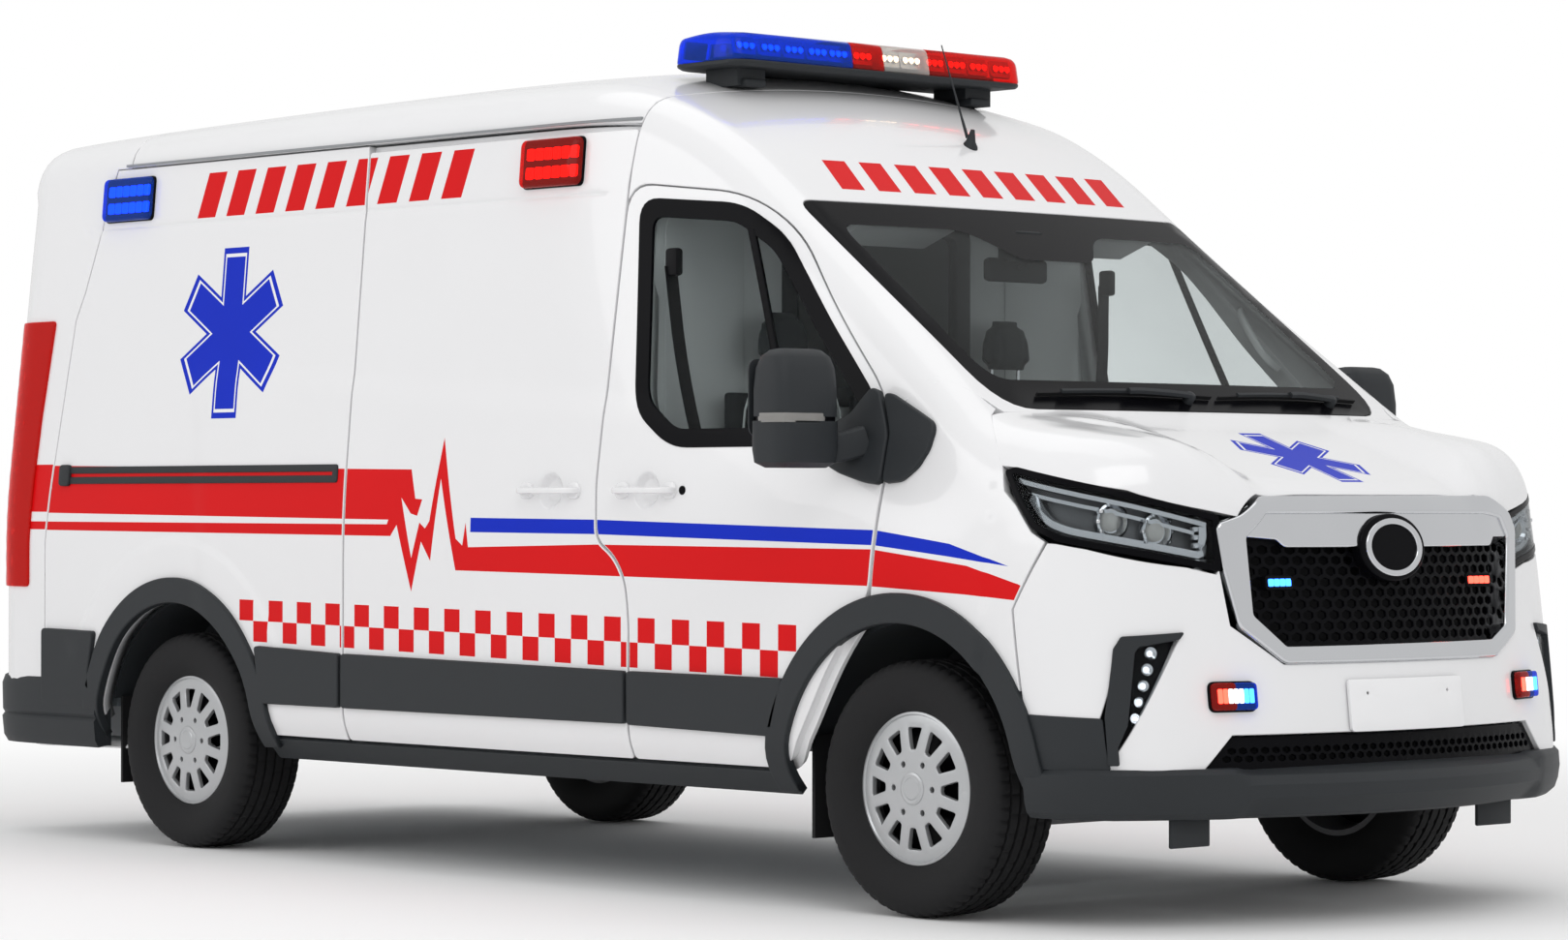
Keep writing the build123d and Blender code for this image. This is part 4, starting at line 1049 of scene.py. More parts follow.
class Shapes:
    """Collects closed shapes, each with a material number, and makes one piece of them."""

    def __init__(self):
        self.verts, self.faces, self.marks = [], [], []

    def add(self, verts, faces, mark=0):
        start = len(self.verts)
        self.verts += [tuple(v) for v in verts]
        self.faces += [[i + start for i in f] for f in faces]
        self.marks += [mark] * len(faces) if isinstance(mark, int) else list(mark)

    def lathe(self, profile, centre=(0, 0, 0), axis=(0, -1, 0), count=40, mark=0):
        """A turned shape; profile is (radius, height) from the lower end to the upper."""
        c = np.array(centre, float)
        d = np.array(axis, float) / np.linalg.norm(axis)
        e1 = np.array((1.0, 0, 0)) if abs(d[0]) < 0.9 else np.array((0, 0, 1.0))
        e1 = e1 - d * (e1 @ d)
        e1 /= np.linalg.norm(e1)
        e2 = np.cross(d, e1)
        verts, faces, rings = [], [], []
        for r, h in profile:
            start = len(verts)
            if r < 1e-6:
                rings.append([start])
                verts.append(c + d * h)
                continue
            rings.append(list(range(start, start + count)))
            for k in range(count):
                a = 2 * pi * k / count
                verts.append(c + d * h + r * (cos(a) * e1 + sin(a) * e2))
        for low, high in zip(rings, rings[1:]):
            if len(low) == len(high) == 1:
                continue
            if len(low) == len(high):
                faces += join_rows(low, high)
                continue
            for k in range(count):
                j = (k + 1) % count
                faces.append([low[0], high[j], high[k]] if len(low) == 1 else [low[k], low[j], high[0]])
        self.add(verts, faces, mark)

    def sweep(self, path, section, up=(0, 0, 1), mark=0, closed=False, scale=None):
        """A section (across, up) carried along a path, its ends closed.

        A dict gives each point of the path a section of its own; scale gives their sizes.
        """
        p = np.array(path, float)
        n = len(p)
        t = np.roll(p, -1, 0) - np.roll(p, 1, 0)
        if not closed:
            t[0], t[-1] = p[1] - p[0], p[-1] - p[-2]
        t /= np.linalg.norm(t, axis=1)[:, None]
        for upward in (up, (1, 0, 0), (0, 1, 0)):
            side = np.cross(t, np.array(upward, float))
            if np.linalg.norm(side, axis=1).min() > 1e-6:
                break
        side /= np.linalg.norm(side, axis=1)[:, None]
        rise = np.cross(side, t)
        verts = []
        for i in range(n):
            sec = section[i] if isinstance(section, dict) else section
            k = 1.0 if scale is None else scale[i]
            verts += [p[i] + side[i] * a * k + rise[i] * b * k for a, b in sec]
        m = len(verts) // n
        rows = np.arange(n * m).reshape(n, m)
        faces = []
        for i in range(n if closed else n - 1):
            faces += join_rows(rows[i], rows[(i + 1) % n], -1)
        if not closed:
            faces += [rows[0].tolist(), rows[-1][::-1].tolist()]
        self.add(verts, faces, mark)

    def rod(self, path, radius, count=8, scale=None):
        """A round bar along a path."""
        up = (0, 0, 1)
        d = np.array(path[-1], float) - np.array(path[0], float)
        if abs(d[2]) > 0.8 * np.linalg.norm(d):
            up = (1, 0, 0)
        ring_points = [(radius * cos(2 * pi * k / count), radius * sin(2 * pi * k / count))
                       for k in range(count)]
        self.sweep(path, ring_points, up, scale=scale)

    def plate(self, view, outline, depth=10, roll=2, mark=0, **extra):
        """A flat or curved plate on a view's surface."""
        v, f, m, _ = shell(view, np.array(outline, float), depth=depth, roll=roll, **extra)
        self.add(v, f, [mark + k for k in m])

    def block(self, low, high, radius=4, mark=0, tilt=0.0):
        """A box with rounded edges, tilted about Y round its middle."""
        bm = bmesh.new()
        bmesh.ops.create_cube(bm, size=1.0)
        size = np.array(high, float) - np.array(low, float)
        middle = (np.array(high, float) + np.array(low, float)) / 2
        for v in bm.verts:
            v.co = Vector([v.co[i] * size[i] for i in range(3)])
        bmesh.ops.bevel(bm, geom=bm.edges[:], offset=min(radius, min(size) * 0.45), segments=2, affect="EDGES",
                        profile=0.5)
        turned = Matrix.Rotation(tilt, 3, "Y")
        verts = [np.array(turned @ v.co) + middle for v in bm.verts]
        index = {v: i for i, v in enumerate(bm.verts)}
        self.add(verts, [[index[v] for v in f.verts] for f in bm.faces], mark)
        bm.free()

    def loft(self, loops, mark=0):
        """A closed skin over loops of equally many points; their order gives outward faces."""
        verts = [p for line in loops for p in line]
        rows = np.arange(len(verts)).reshape(len(loops), -1)
        faces = []
        for low, high in zip(rows, rows[1:]):
            faces += join_rows(low, high)
        faces += [rows[0][::-1].tolist(), rows[-1].tolist()]
        self.add(verts, faces, mark)

    def make(self, name, mats, body="body", slot=None, node=None, mirror=False, sharp=34, shift=(0, 0, 0)):
        """Makes the piece; edges sharper than sharp degrees stay sharp."""
        obj = make_object(name, np.array(self.verts) + shift, self.faces, mats, body, self.marks,
                          node=node, mirror=mirror)
        obj.data.set_sharp_from_angle(angle=radians(sharp))

    def both(self, name, mats, body="body", slot=None, node=None, **extra):
        """Makes the right-hand piece and its mirror image."""
        self.make(name, mats, body, slot, node, **extra)
        self.make(to_left(name), mats, to_left(body), slot, to_left(node), True, **extra)


def soften(points, times=2):
    """An open path with its corners cut, its ends kept."""
    p = np.array(points, float)
    for _ in range(times):
        a, b = p[:-1], p[1:]
        cut = np.stack([a * 0.75 + b * 0.25, a * 0.25 + b * 0.75], 1).reshape(-1, p.shape[1])
        p = np.vstack([p[:1], cut, p[-1:]])
    return p


def round_rect(low, high, radius, count=5):
    """Counter-clockwise outline of a rectangle with rounded corners."""
    (a, b), (c, d) = low, high
    return rounded([(a, b), (c, b), (c, d), (a, d)], radius, count)


def oblong(a, b):
    """A section a to both sides and b up and down."""
    return [(-a, -b), (a, -b), (a, b), (-a, b)]


def off_skin(view, uv, level):
    """Points at flat places of a view, raised from the skin by level."""
    p, n = view.place(uv)
    return p + n * level


# ---- wheels ----
TYRE_HALF = [(208, -84), (224, -99), (262, -112), (296, -116), (318, -114), (330, -108), (338, -101),
             (343, -94), (345, -84), (345.8, -74), (338, -73), (338, -66), (346.2, -65), (346.8, -50),
             (347, -40), (338.5, -39), (338.5, -31), (347.3, -30), (347.6, -12), (347.6, -5), (339, -4)]
TYRE_PROFILE = TYRE_HALF + [(r, -h) for r, h in TYRE_HALF[::-1]] + [(214, 60), (214, -60), TYRE_HALF[0]]


def tyre_shape():
    """A road tyre: four grooves, sipes across the shoulders and ribs between them."""
    steps = 240
    verts, faces = [], []
    for k in range(steps):
        a = 2 * pi * k / steps
        for i, (r, h) in enumerate(TYRE_PROFILE):
            if r > 342 and abs(h) > 73 and k % 4 == 0:
                r -= 5.5
            elif r > 345 and 39 < abs(h) < 66 and k % 6 == (0 if h > 0 else 3):
                r -= 4.0
            elif r > 345 and 4 < abs(h) < 31 and k % 8 == (2 if h > 0 else 6):
                r -= 3.0
            elif 325 < r < 340 and abs(h) > 99 and k % 4 == 0:
                r -= 2.5
            verts.append((r * cos(a), -h, r * sin(a)))
    m = len(TYRE_PROFILE)
    for k in range(steps):
        j = (k + 1) % steps
        for i in range(m - 1):
            faces.append([j * m + i, j * m + i + 1, k * m + i + 1, k * m + i])
    return verts, faces


class DomeView:
    """A wheel's face in its own plane: the skin's height is a smooth curve of the radius."""
    RADIUS = 203

    def place(self, uv):
        r = np.hypot(uv[:, 0], uv[:, 1])
        h = 99 - 17 * (r / self.RADIUS) ** 3
        slope = -51 * r ** 2 / self.RADIUS ** 3
        n = columns(-slope * uv[:, 0] / np.maximum(r, 1), -1.0, -slope * uv[:, 1] / np.maximum(r, 1))
        n /= np.linalg.norm(n, axis=1)[:, None]
        return columns(uv[:, 0], -h, uv[:, 1]), n


def wheel_window(angle):
    """One opening of the cover, between two spokes."""
    pts = []
    for r, half in ((104, 7.2), (172, 10.6)):
        for s in (-1, 1):
            a = angle + s * radians(half)
            pts.append((r * sin(a), r * cos(a)))
    a, b, c, d = pts
    return rounded([a, b, d, c], [9, 9, 13, 13], 4)


BOLTS = [(74 * sin(radians(60 * k + 30)), 74 * cos(radians(60 * k + 30))) for k in range(6)]


def cover_shape():
    """Silver cover: twelve openings, six bolt holes and a plain raised cap."""
    s = Shapes()
    holes = [wheel_window(radians(30 * k)) for k in range(12)]
    holes += [disc(x, z, 11.5) for x, z in BOLTS]
    s.plate(DomeView(), disc(0, 0, 201, 96), depth=16, roll=3.5, holes=holes, spacing=15, thick=7,
            creases=[np.array(ring(0, 0, r, count=72)) for r in (95, 184, 192)])
    s.lathe([(0, 80), (46, 80), (46, 97), (44, 100.5), (38, 102.5), (34, 101.5), (31, 101.5), (28, 103.5),
            (0, 105)], count=48)
    s.lathe([(198, 60), (206, 62), (209, 78), (207, 86), (201, 88), (197, 82), (196, 66), (198, 60)], count=96)
    return s


def rim_shape():
    """Steel wheel behind the cover: barrel, dish and hub."""
    s = Shapes()
    s.lathe([(196, -90), (212, -88), (212, -80), (205, -74), (190, -40), (190, 60), (205, 76), (208, 84),
            (200, 84), (196, 70), (182, 56), (182, -40), (194, -76), (196, -90)], count=72)
    dish_profile = [(0, 30), (60, 30), (95, 44), (150, 30), (183, 36), (183, 42), (150, 38), (95, 53), (60, 40),
                    (0, 40)]
    s.lathe(dish_profile, count=60, mark=1)
    s.lathe([(0, -70), (82, -70), (82, -20), (150, -16), (150, 8), (70, 10), (55, 32), (0, 32)], count=48,
            mark=2)
    for x, z in BOLTS:
        s.lathe([(0, 38), (10.5, 38), (10.5, 58), (8, 61), (0, 61)], (x, 0, z), count=6, mark=1)
    return s


tyre_verts, tyre_faces = tyre_shape()
cover, rim = cover_shape(), rim_shape()
for end, axle in (("front", FRONT_AXLE), ("rear", REAR_AXLE)):
    for side_name in ("right", "left"):
        at = (axle, -WHEEL_Y, TYRE_R)
        turned = side_name == "left"
        tag = end + "_" + side_name
        wheel = "wheel_" + tag
        tyre = Shapes()
        tyre.add(tyre_verts, tyre_faces)
        tyre.make("tyre_tread_" + tag, ["rubber"], wheel, "tyre_rubber", "tyre_" + tag, turned, 28, at)
        rim.make("steel_wheel_" + tag, ["steel", "gloss_black", "steel"], wheel, "wheel_silver", "rim_" + tag,
                 turned, 34, at)
        cover.make("wheel_cover_" + tag, ["silver"], wheel, "wheel_silver", None, turned, 30, at)

# ---- front: dark corners and lip, grille, lamps, plate ----
corner = [(2222, -1010, 566), (2330, -975, 562), (2422, -925, 558), (2430, -921, 486), (2442, -915, 424),
          (2330, -975, 424), (2222, -1006, 424)]
panel("bumper_corner_right", NOSE, rounded(inset(NOSE.flat(corner), 2), 6), ["trim"], spacing=40, level=5)


def nose_outline(points, spacing=25):
    """Places given as (y, z), as an outline on the nose."""
    return NOSE.flat(front_points(dense(points, spacing), 2000))


FOG_FRAME = [(-920, 440), (-920, 562), (-902, 692), (-896, 738), (-880, 768), (-734, 778), (-746, 764),
             (-846, 747), (-858, 730), (-884, 541), (-905, 484), (-903, 440)]
panel("fog_frame_right", NOSE, rounded(nose_outline(FOG_FRAME), 3, 3), ["trim"], spacing=26, level=10, depth=34)
FOG_BACK = [(-884, 755), (-748, 764), (-800, 650), (-862, 462), (-892, 490)]
panel("fog_pocket_right", NOSE, nose_outline(FOG_BACK), ["gloss_black"], slot="black_plastic", spacing=40,
      level=-26, depth=12, roll=2)
FOG_LAMP = [(-850, 744), (-762, 756), (-800, 655), (-872, 520), (-876, 560)]
panel("fog_lens_right", NOSE, rounded(inset(nose_outline(FOG_LAMP, 40), 4), 8), ["lens_clear"],
      node="fog_lamps", spacing=40, level=-4, depth=5, roll=2)
fog = Shapes()
for k in range(5):
    t = k / 4
    y, z = -815 - 48 * t, 728 - 168 * t
    p, n = NOSE.place(NOSE.flat(front_points([(y, z)], 2000)))
    c = p[0] - n[0] * 22
    fog.lathe([(0, -4), (19 - 4 * t, 0), (17 - 4 * t, 9), (8, 3), (0, 1)], c, n[0], 20, 1)
    fog.lathe([(0, 2), (7, 3), (5, 7), (0, 8)], c, n[0], 12)
fog.both("fog_bulbs_right", ["led_white", "chrome"], slot="lamp_clear")

# lower lip: a section that changes along the bumper's arc
LIP_R, LIP_CENTRE = 1561.4, 1211.6
lip_path = [(2222.0, -1014.0), (2340, -1004)]
lip_path += [(LIP_CENTRE + LIP_R * cos(radians(a)), LIP_R * sin(radians(a))) for a in np.linspace(-37, 37, 33)]
lip_path += [(2340, 1004), (2222.0, 1014.0)]
lip_path = soften(lip_path, 1)
LIP_SIDE = [(-66, 428), (-16, 426), (-3, 412), (0, 372), (-5, 336), (-14, 310), (-30, 296), (-60, 292),
            (-72, 300)]
LIP_MIDDLE = [(-116, 430), (-56, 420), (-22, 408), (-2, 384), (-6, 350), (-34, 318), (-54, 300), (-86, 292),
              (-118, 300)]
lip = Shapes()
sections = []
for x, y in lip_path:
    t = float(smooth(650, 585, abs(y)))
    pairs = zip(LIP_SIDE, LIP_MIDDLE)
    sections.append([((1 - t) * a + t * c, (1 - t) * b + t * d) for (a, b), (c, d) in pairs])
lip_3d = [(x, y, 0) for x, y in lip_path]
lip.sweep(lip_3d, dict(enumerate(sections)))
lip.make("lower_lip", ["trim"], node="lower_bumper", sharp=24)
flaps = Shapes()
for y0 in (-760, 500):
    flaps.block((2500, y0, 218), (2512, y0 + 150, 300))
flaps.make("air_flaps", ["trim"])

# grille
GRILLE_FACE = FrontView(2000.0)
GRILLE_IN = [(-429, 732), (435, 735), (527, 774), (590, 1025), (546, 1084), (470, 1096), (-456, 1096),
             (-534, 1030), (-531, 819)]
GRILLE_OUT = [(-432, 702), (446, 702), (570, 762), (630, 1046), (600, 1088), (498, 1130), (-453, 1127),
              (-537, 1076), (-606, 1056), (-596, 951), (-562, 796)]
panel("grille_surround", GRILLE_FACE, rounded(GRILLE_OUT, 14), ["chrome"], node="grille_frame",
      holes=[rounded(GRILLE_IN, 12)], spacing=22, level=10, depth=46, roll=9)
BAR = [(-528, 1034), (-456, 1092), (470, 1092), (542, 1080), (584, 1030), (500, 1030), (478, 1006),
       (-400, 1006), (-425, 1026)]
panel("grille_bar", GRILLE_FACE, rounded(BAR, 9), ["chrome"], spacing=24, level=2, depth=22, roll=6)


def honeycomb(outline, pitch_u, pitch_v, wall, edge):
    """Six-sided cells in staggered rows, kept where the whole cell lies inside the outline."""
    out = []
    keep = inset(outline, edge)
    low, high = keep.min(0), keep.max(0)
    v, row = low[1], 0
    while v < high[1]:
        u = low[0] + (row % 2) * pitch_u / 2
        while u < high[0]:
            a, b = pitch_u / 2 - wall, pitch_v * 0.66 - wall
            cell = np.array([(u, v - b), (u + a, v - b / 2), (u + a, v + b / 2), (u, v + b), (u - a, v + b / 2),
                             (u - a, v - b / 2)])
            if contains(keep, cell).all():
                out.append(cell)
            u += pitch_u
        v += pitch_v
        row += 1
    return out


MESH_OUTLINE = [(-440, 728), (440, 728), (532, 772), (588, 1020), (500, 1034), (-420, 1034), (-536, 1030),
                (-535, 815)]
LOWER_GRILLE = [(-690, 424), (700, 424), (628, 506), (-612, 506)]
grid = Shapes()
grid.plate(GRILLE_FACE, MESH_OUTLINE, depth=9, roll=1.5, level=-24, spacing=40,
           holes=honeycomb(MESH_OUTLINE, 46, 29, 4.5, 8))
grid.plate(GRILLE_FACE, LOWER_GRILLE, depth=9, roll=1.5, level=-14, spacing=40,
           holes=honeycomb(LOWER_GRILLE, 34, 21, 3.2, 5))
grid.make("grille_honeycomb", ["gloss_black"], node="grille_mesh", sharp=40)
back = Shapes()
back.plate(GRILLE_FACE, inset(MESH_OUTLINE, -14), depth=6, roll=1, level=-62, spacing=60)
back.plate(GRILLE_FACE, inset(LOWER_GRILLE, -8), depth=6, roll=1, level=-50, spacing=60)
back.make("radiator_screen", ["seal"], slot="gloss_black")

# plain badge place: a black disc in a chrome ring
badge_at = off_skin(GRILLE_FACE, [(-9, 999)], 0)[0]
badge = Shapes()
GRILLE_RISE = (-0.11, 0, 0.994)
BADGE_VIEW = PlaneView(badge_at + (6, 0, 0), (0, 1, 0), GRILLE_RISE)


def oval(a, b):
    """The closed outline of an ellipse with half-axes a and b."""
    return np.array([(a * cos(2 * pi * k / 56), b * sin(2 * pi * k / 56)) for k in range(56)])


badge.plate(BADGE_VIEW, oval(128, 86), depth=34, roll=6, spacing=40)
badge.plate(BADGE_VIEW, oval(112, 75), depth=14, roll=4, spacing=40, level=7, mark=1, holes=[oval(99, 66)])
badge.make("badge_place", ["gloss_black", "chrome"], sharp=38)

# two small lights behind the mesh and the bumper's pair of lamps
glow = Shapes()
for k, (y, z) in enumerate(((-420, 909), (415, 908))):
    p, n = GRILLE_FACE.place([(y, z)])
    frame_view = PlaneView(p[0] - n[0] * 12, (0, 1, 0), GRILLE_RISE)
    glow.plate(frame_view, round_rect((-52, -17), (52, 17), 6), depth=16, spacing=60)
    for j in range(4):
        glow.plate(frame_view, round_rect((-44 + 23 * j, -9), (-26 + 23 * j, 9), 3), depth=4, roll=1, level=3,
                   spacing=60, mark=1 + k)
glow.make("grille_lights", ["gloss_black", "led_blue", "led_red"], slot="lamp_blue", sharp=38)


def bumper_lamp(name, centre_y):
    """A short bar lamp: a red and a blue half over bright diodes in a black frame."""
    s = Shapes()
    low, high = (centre_y - 66, 575), (centre_y + 66, 648)
    s.plate(GRILLE_FACE, round_rect(low, high, 16), depth=14, roll=4, level=8, spacing=40)
    for a, b, mark in ((low[0] + 5, centre_y, 1), (centre_y, high[0] - 5, 2)):
        s.plate(GRILLE_FACE, round_rect((a, low[1] + 5), (b, high[1] - 5), 9), depth=16, roll=4, level=23,
                mark=mark)
    for j in range(7):
        y = centre_y - 46 + 15.3 * j
        s.plate(GRILLE_FACE, round_rect((y - 6, 594), (y + 6, 630), 3), depth=3, roll=1, level=24.5,
                mark=4 if j < 2 else 5 if j > 4 else 3)
    s.make(name, ["gloss_black", "lens_red", "lens_blue", "led_white", "led_red", "led_blue"], slot="lamp_blue",
           sharp=38)


bumper_lamp("bumper_lamp_right", -606)
bumper_lamp("bumper_lamp_left", 606)

plate_piece = Shapes()
plate_piece.plate(GRILLE_FACE, round_rect((-231, 512), (231, 646), 10), roll=2.5, level=14, spacing=60,
                  holes=[disc(s * 165, 611, 7) for s in (-1, 1)])
for s in (-1, 1):
    plate_piece.plate(GRILLE_FACE, disc(s * 165, 611, 6.5), depth=4, roll=1, level=9, spacing=20, mark=1)
plate_piece.make("blank_plate", ["decal_white", "gloss_black"], slot="paint_white", node="number_plate",
                 sharp=38)

# headlamps
LAMP_LOOP = [(2095, -956, 1204), (2132, -948, 1214), (2424, -836, 1147), (2536, -600, 1085), (2547, -606, 936),
             (2515, -703, 955), (2363, -923, 1002), (2292, -962, 1017), (2218, -980, 1050), (2157, -974, 1120)]
lamp_uv = NOSE.flat(LAMP_LOOP)
panel("headlamp_frame_right", NOSE, rounded(inset(lamp_uv, 3), 7, 3), ["gloss_black"], slot="lamp_clear",
      holes=[rounded(inset(lamp_uv, 15), 7, 3)], spacing=22, level=1, depth=60)
panel("headlamp_lens_right", NOSE, rounded(inset(lamp_uv, 8), 7, 3), ["lens_clear"], node="headlamps",
      spacing=24, level=-1, depth=3.5, roll=1)
panel("headlamp_bowl_right", NOSE, rounded(inset(lamp_uv, 10), 7, 3), ["steel"], slot="lamp_clear", spacing=24,
      level=-52, depth=8, roll=1)
lamp = Shapes()


def lamp_line(points, level, size, mark):
    """A bright strip inside the lamp, through places of the lamp's flat outline."""
    lamp.sweep(off_skin(NOSE, soften(points, 2), level), oblong(*size), mark=mark)


lamp_line(inset(lamp_uv, 36)[3:], -26, (10, 9), 0)
lamp_line(inset(lamp_uv, 30)[:4], -22, (9, 6), 0)
lamp_line(inset(lamp_uv, 56)[1:4], -34, (8, 5), 1)
r = 40
for t in (0.40, 0.66):
    c2 = (lamp_uv[7] * 0.5 + lamp_uv[1] * 0.5) * (1 - t) + (lamp_uv[4] * 0.5 + lamp_uv[3] * 0.5) * t
    p, n = NOSE.place([c2 + (0, 2)])
    look = n[0] * 0.4 + np.array((0.92, -0.1, 0))
    look /= np.linalg.norm(look)
    c = p[0] - n[0] * 44
    lamp.lathe([(0, -14), (r + 6, -10), (r + 8, 14), (r + 2, 17), (r - 3, 10), (r - 8, 2), (0, -2)], c, look,
               36, 1)
    lamp.lathe([(0, -4), (r - 12, -2), (r - 13, 8), (r - 20, 17), (r - 30, 22), (0, 24)], c, look, 32, 2)
    for k in range(10):
        y, z = (r + 16) * cos(radians(36 * k)), (r + 16) * sin(radians(36 * k)) * 0.8
        lamp.block(c + (6, y - 5, z - 5), c + (16, y + 5, z + 5), 2, 1)
for k in range(7):
    p, n = NOSE.place([lamp_uv[3] * (1 - k / 7) + lamp_uv[4] * k / 7 + (-44, -12)])
    c = p[0] - n[0] * 30
    lamp.block(c - (8, 22, 7), c + (8, 22, 7), 3)
lamp.both("headlamp_parts_right", ["bright", "chrome", "lens_frost"], slot="lamp_clear", sharp=32)

# ---- mirrors, handles, rail, wipers, aerial ----
def head_loft(mark, *loops):
    """A part of the mirror's head over level loops: low corner, high corner, height, corner radius."""
    mirror.loft([[(x, y, z) for x, y in round_rect(low, high, radius)] for low, high, z, radius in loops], mark)


mirror = Shapes()
head_loft(0, ((1480, -1262), (1562, -1088), 1212, 26), ((1454, -1284), (1584, -1066), 1226, 40),
          ((1448, -1290), (1592, -1060), 1262, 48), ((1448, -1290), (1592, -1060), 1338, 50))
head_loft(0, ((1450, -1288), (1590, -1062), 1350, 50), ((1450, -1288), (1590, -1062), 1420, 50),
          ((1454, -1284), (1584, -1064), 1480, 50), ((1464, -1272), (1572, -1072), 1512, 46),
          ((1482, -1250), (1552, -1092), 1530, 34), ((1500, -1226), (1536, -1116), 1534, 16))
head_loft(1, ((1454, -1284), (1586, -1066), 1334, 46), ((1454, -1284), (1586, -1066), 1354, 46))
head_loft(2, ((1476, -1291), (1592, -1110), 1334, 42), ((1476, -1291), (1592, -1110), 1359, 42))
mirror.sweep(soften([(1520, -1090, 1262), (1540, -1045, 1266), (1560, -1005, 1276), (1575, -970, 1288)], 2),
             round_rect((-34, -40), (34, 40), 16, 3))
glass_view = PlaneView((1446.5, -1175, 1392), (0, -1, 0), (0, 0, 1))
mirror.plate(glass_view, round_rect((-104, -94), (104, 112), 30), depth=6, spacing=60, level=1)
mirror.plate(glass_view, round_rect((-96, -40), (96, 104), 24), depth=3, roll=1, spacing=60, mark=3, level=2.4)
mirror.plate(glass_view, round_rect((-96, -88), (96, -48), 14), depth=3, roll=1, spacing=60, mark=3, level=2.4)
MIRROR_FOOT = [(1462, 1222), (1510, 1202), (1600, 1178), (1652, 1172), (1658, 1184), (1658, 1296), (1598, 1414),
               (1574, 1424), (1545, 1392), (1510, 1350), (1462, 1330)]
mirror.plate(SIDE, rounded(MIRROR_FOOT, 14), depth=26, roll=7, spacing=40, level=20)
mirror.both("mirror_head_right", ["trim", "gloss_black", "lens_frost", "chrome"], "front_door_r",
            node="mirror_right", sharp=30)
WING_CORNER = [(1675, 1174), (1735, 1180), (1785, 1216), (1816, 1262), (1824, 1310), (1814, 1330), (1760, 1356),
               (1690, 1388), (1646, 1408), (1626, 1408), (1675, 1302)]
panel("wing_corner_right", WING, WING.flat(snap(WING, side_points(rounded(WING_CORNER, 14)))), ["trim"],
      level=16, depth=18, roll=6)

divider_bar = [(1001, 1892), (1023, 1892), (1216, 1442), (1194, 1442)]
divider = Shapes()
divider.plate(SIDE, rounded(divider_bar, 3), spacing=40, level=2.5)
divider.both("door_divider_right", ["gloss_black"], "front_door_r")

GRIP = round_rect((-11, -9), (11, 9), 6, 3)


def handle(x0, x1):
    """A pull handle across a dish of the side."""
    z, proud = HANDLE_Z, 34
    y0 = float(side_points([(x0, z)])[0][1])
    s = Shapes()
    path = soften([(x0 + 4, y0 + 6, z), (x0 + 8, y0 - proud * 0.6, z), (x0 + 40, y0 - proud, z),
                   (x1 - 40, y0 - proud, z), (x1 - 8, y0 - proud * 0.6, z), (x1 - 4, y0 + 6, z)], 2)
    s.sweep(path, GRIP)
    for x in (x0, x1 - 46):
        s.plate(SIDE, round_rect((x, z - 19), (x + 46, z + 19), 17), depth=12, roll=5, spacing=20, level=9)
    return s


slide_handle = handle(158, 418)
slide_handle.make("slide_handle", ["paint", "gloss_black"], sharp=30)
door_handle = handle(587, 837)
lock_at = side_points([(866, HANDLE_Z)])[0]
door_handle.lathe([(0, -6), (13, -6), (13, 2), (11, 4), (5, 4), (4, 3), (0, 3)], lock_at, count=20, mark=1)
door_handle.both("door_handle_right", ["paint", "gloss_black"], "front_door_r", sharp=30)

rail = Shapes()
rail.plate(SIDE, round_rect((-2287, 1183), (-750, 1234), 9), depth=12, roll=3, spacing=60, level=5,
           holes=[round_rect((-2262, 1200), (-770, 1217), 5)])
rail.plate(SIDE, round_rect((-2262, 1200), (-770, 1217), 5), depth=5, roll=1, spacing=60, level=-7, mark=1)
rail.plate(SIDE, round_rect((-2287, 1178), (-2236, 1239), 10), depth=20, roll=5, level=12)
rail.make("slide_rail", ["trim", "gloss_black"])

gutters = Shapes()
path = [(x, float(side_points([(x, 2236)])[0][1]) - 4, 2236) for x in np.linspace(-2030, 545, 40)]
gutters.sweep(path, oblong(5, 4))
gutters.both("roof_gutter_right", ["liner"], slot="black_rubber", sharp=40)

wipers = Shapes()
ACROSS = (0.74, 0, 0.67)      # along the windscreen's slope, backwards and up
for y_arm, y_low, y_high in ((-70, -640, 30), (560, 60, 690)):
    ys = np.linspace(y_low, y_high, 24)
    zs = 1408 + 7 * np.sin(np.linspace(0, pi, 24))
    blade = off_skin(SCREEN, np.stack([ys, zs], 1), 9)
    wipers.sweep(blade, [(-3, -8), (3, -8), (2, 4), (-2, 4)], up=ACROSS, mark=1)
    spine = off_skin(SCREEN, np.stack([ys[3:-3], zs[3:-3]], 1), 17)
    wipers.sweep(spine, [(-7, -3), (7, -3), (4, 4), (-4, 4)], up=ACROSS)
    middle = (y_low + y_high) / 2
    arm = soften([(y_arm, 1400), (y_arm - 60, 1406), (middle + 40, 1412), (middle, 1410)], 2)
    wipers.sweep(off_skin(SCREEN, arm, 24), [(-10, -4), (10, -4), (6, 5), (-6, 5)], up=ACROSS)
    hub = off_skin(SCREEN, [(y_arm, 1402)], 0)[0]
    wipers.lathe([(0, -10), (16, -10), (16, 20), (12, 27), (0, 29)], hub, (0.6, 0, 0.8), 24)
wipers.make("wipers", ["trim", "rubber"], sharp=40)

aerial = Shapes()
foot, lean = np.array((868.0, 142.0, 2190.0)), np.array((-0.36, 0, 0.93))
aerial.lathe([(0, -14), (26, -12), (24, 2), (15, 16), (9, 40), (6, 52), (0, 53)], foot, (0.25, 0, 0.97), 24)
rod = [foot + lean * t for t in (30, 110, 190, 270, 338)]
aerial.rod(rod, 3.6, scale=[1.5, 1.0, 0.8, 0.65, 0.5])
aerial.make("aerial_whip", ["trim"], sharp=40)

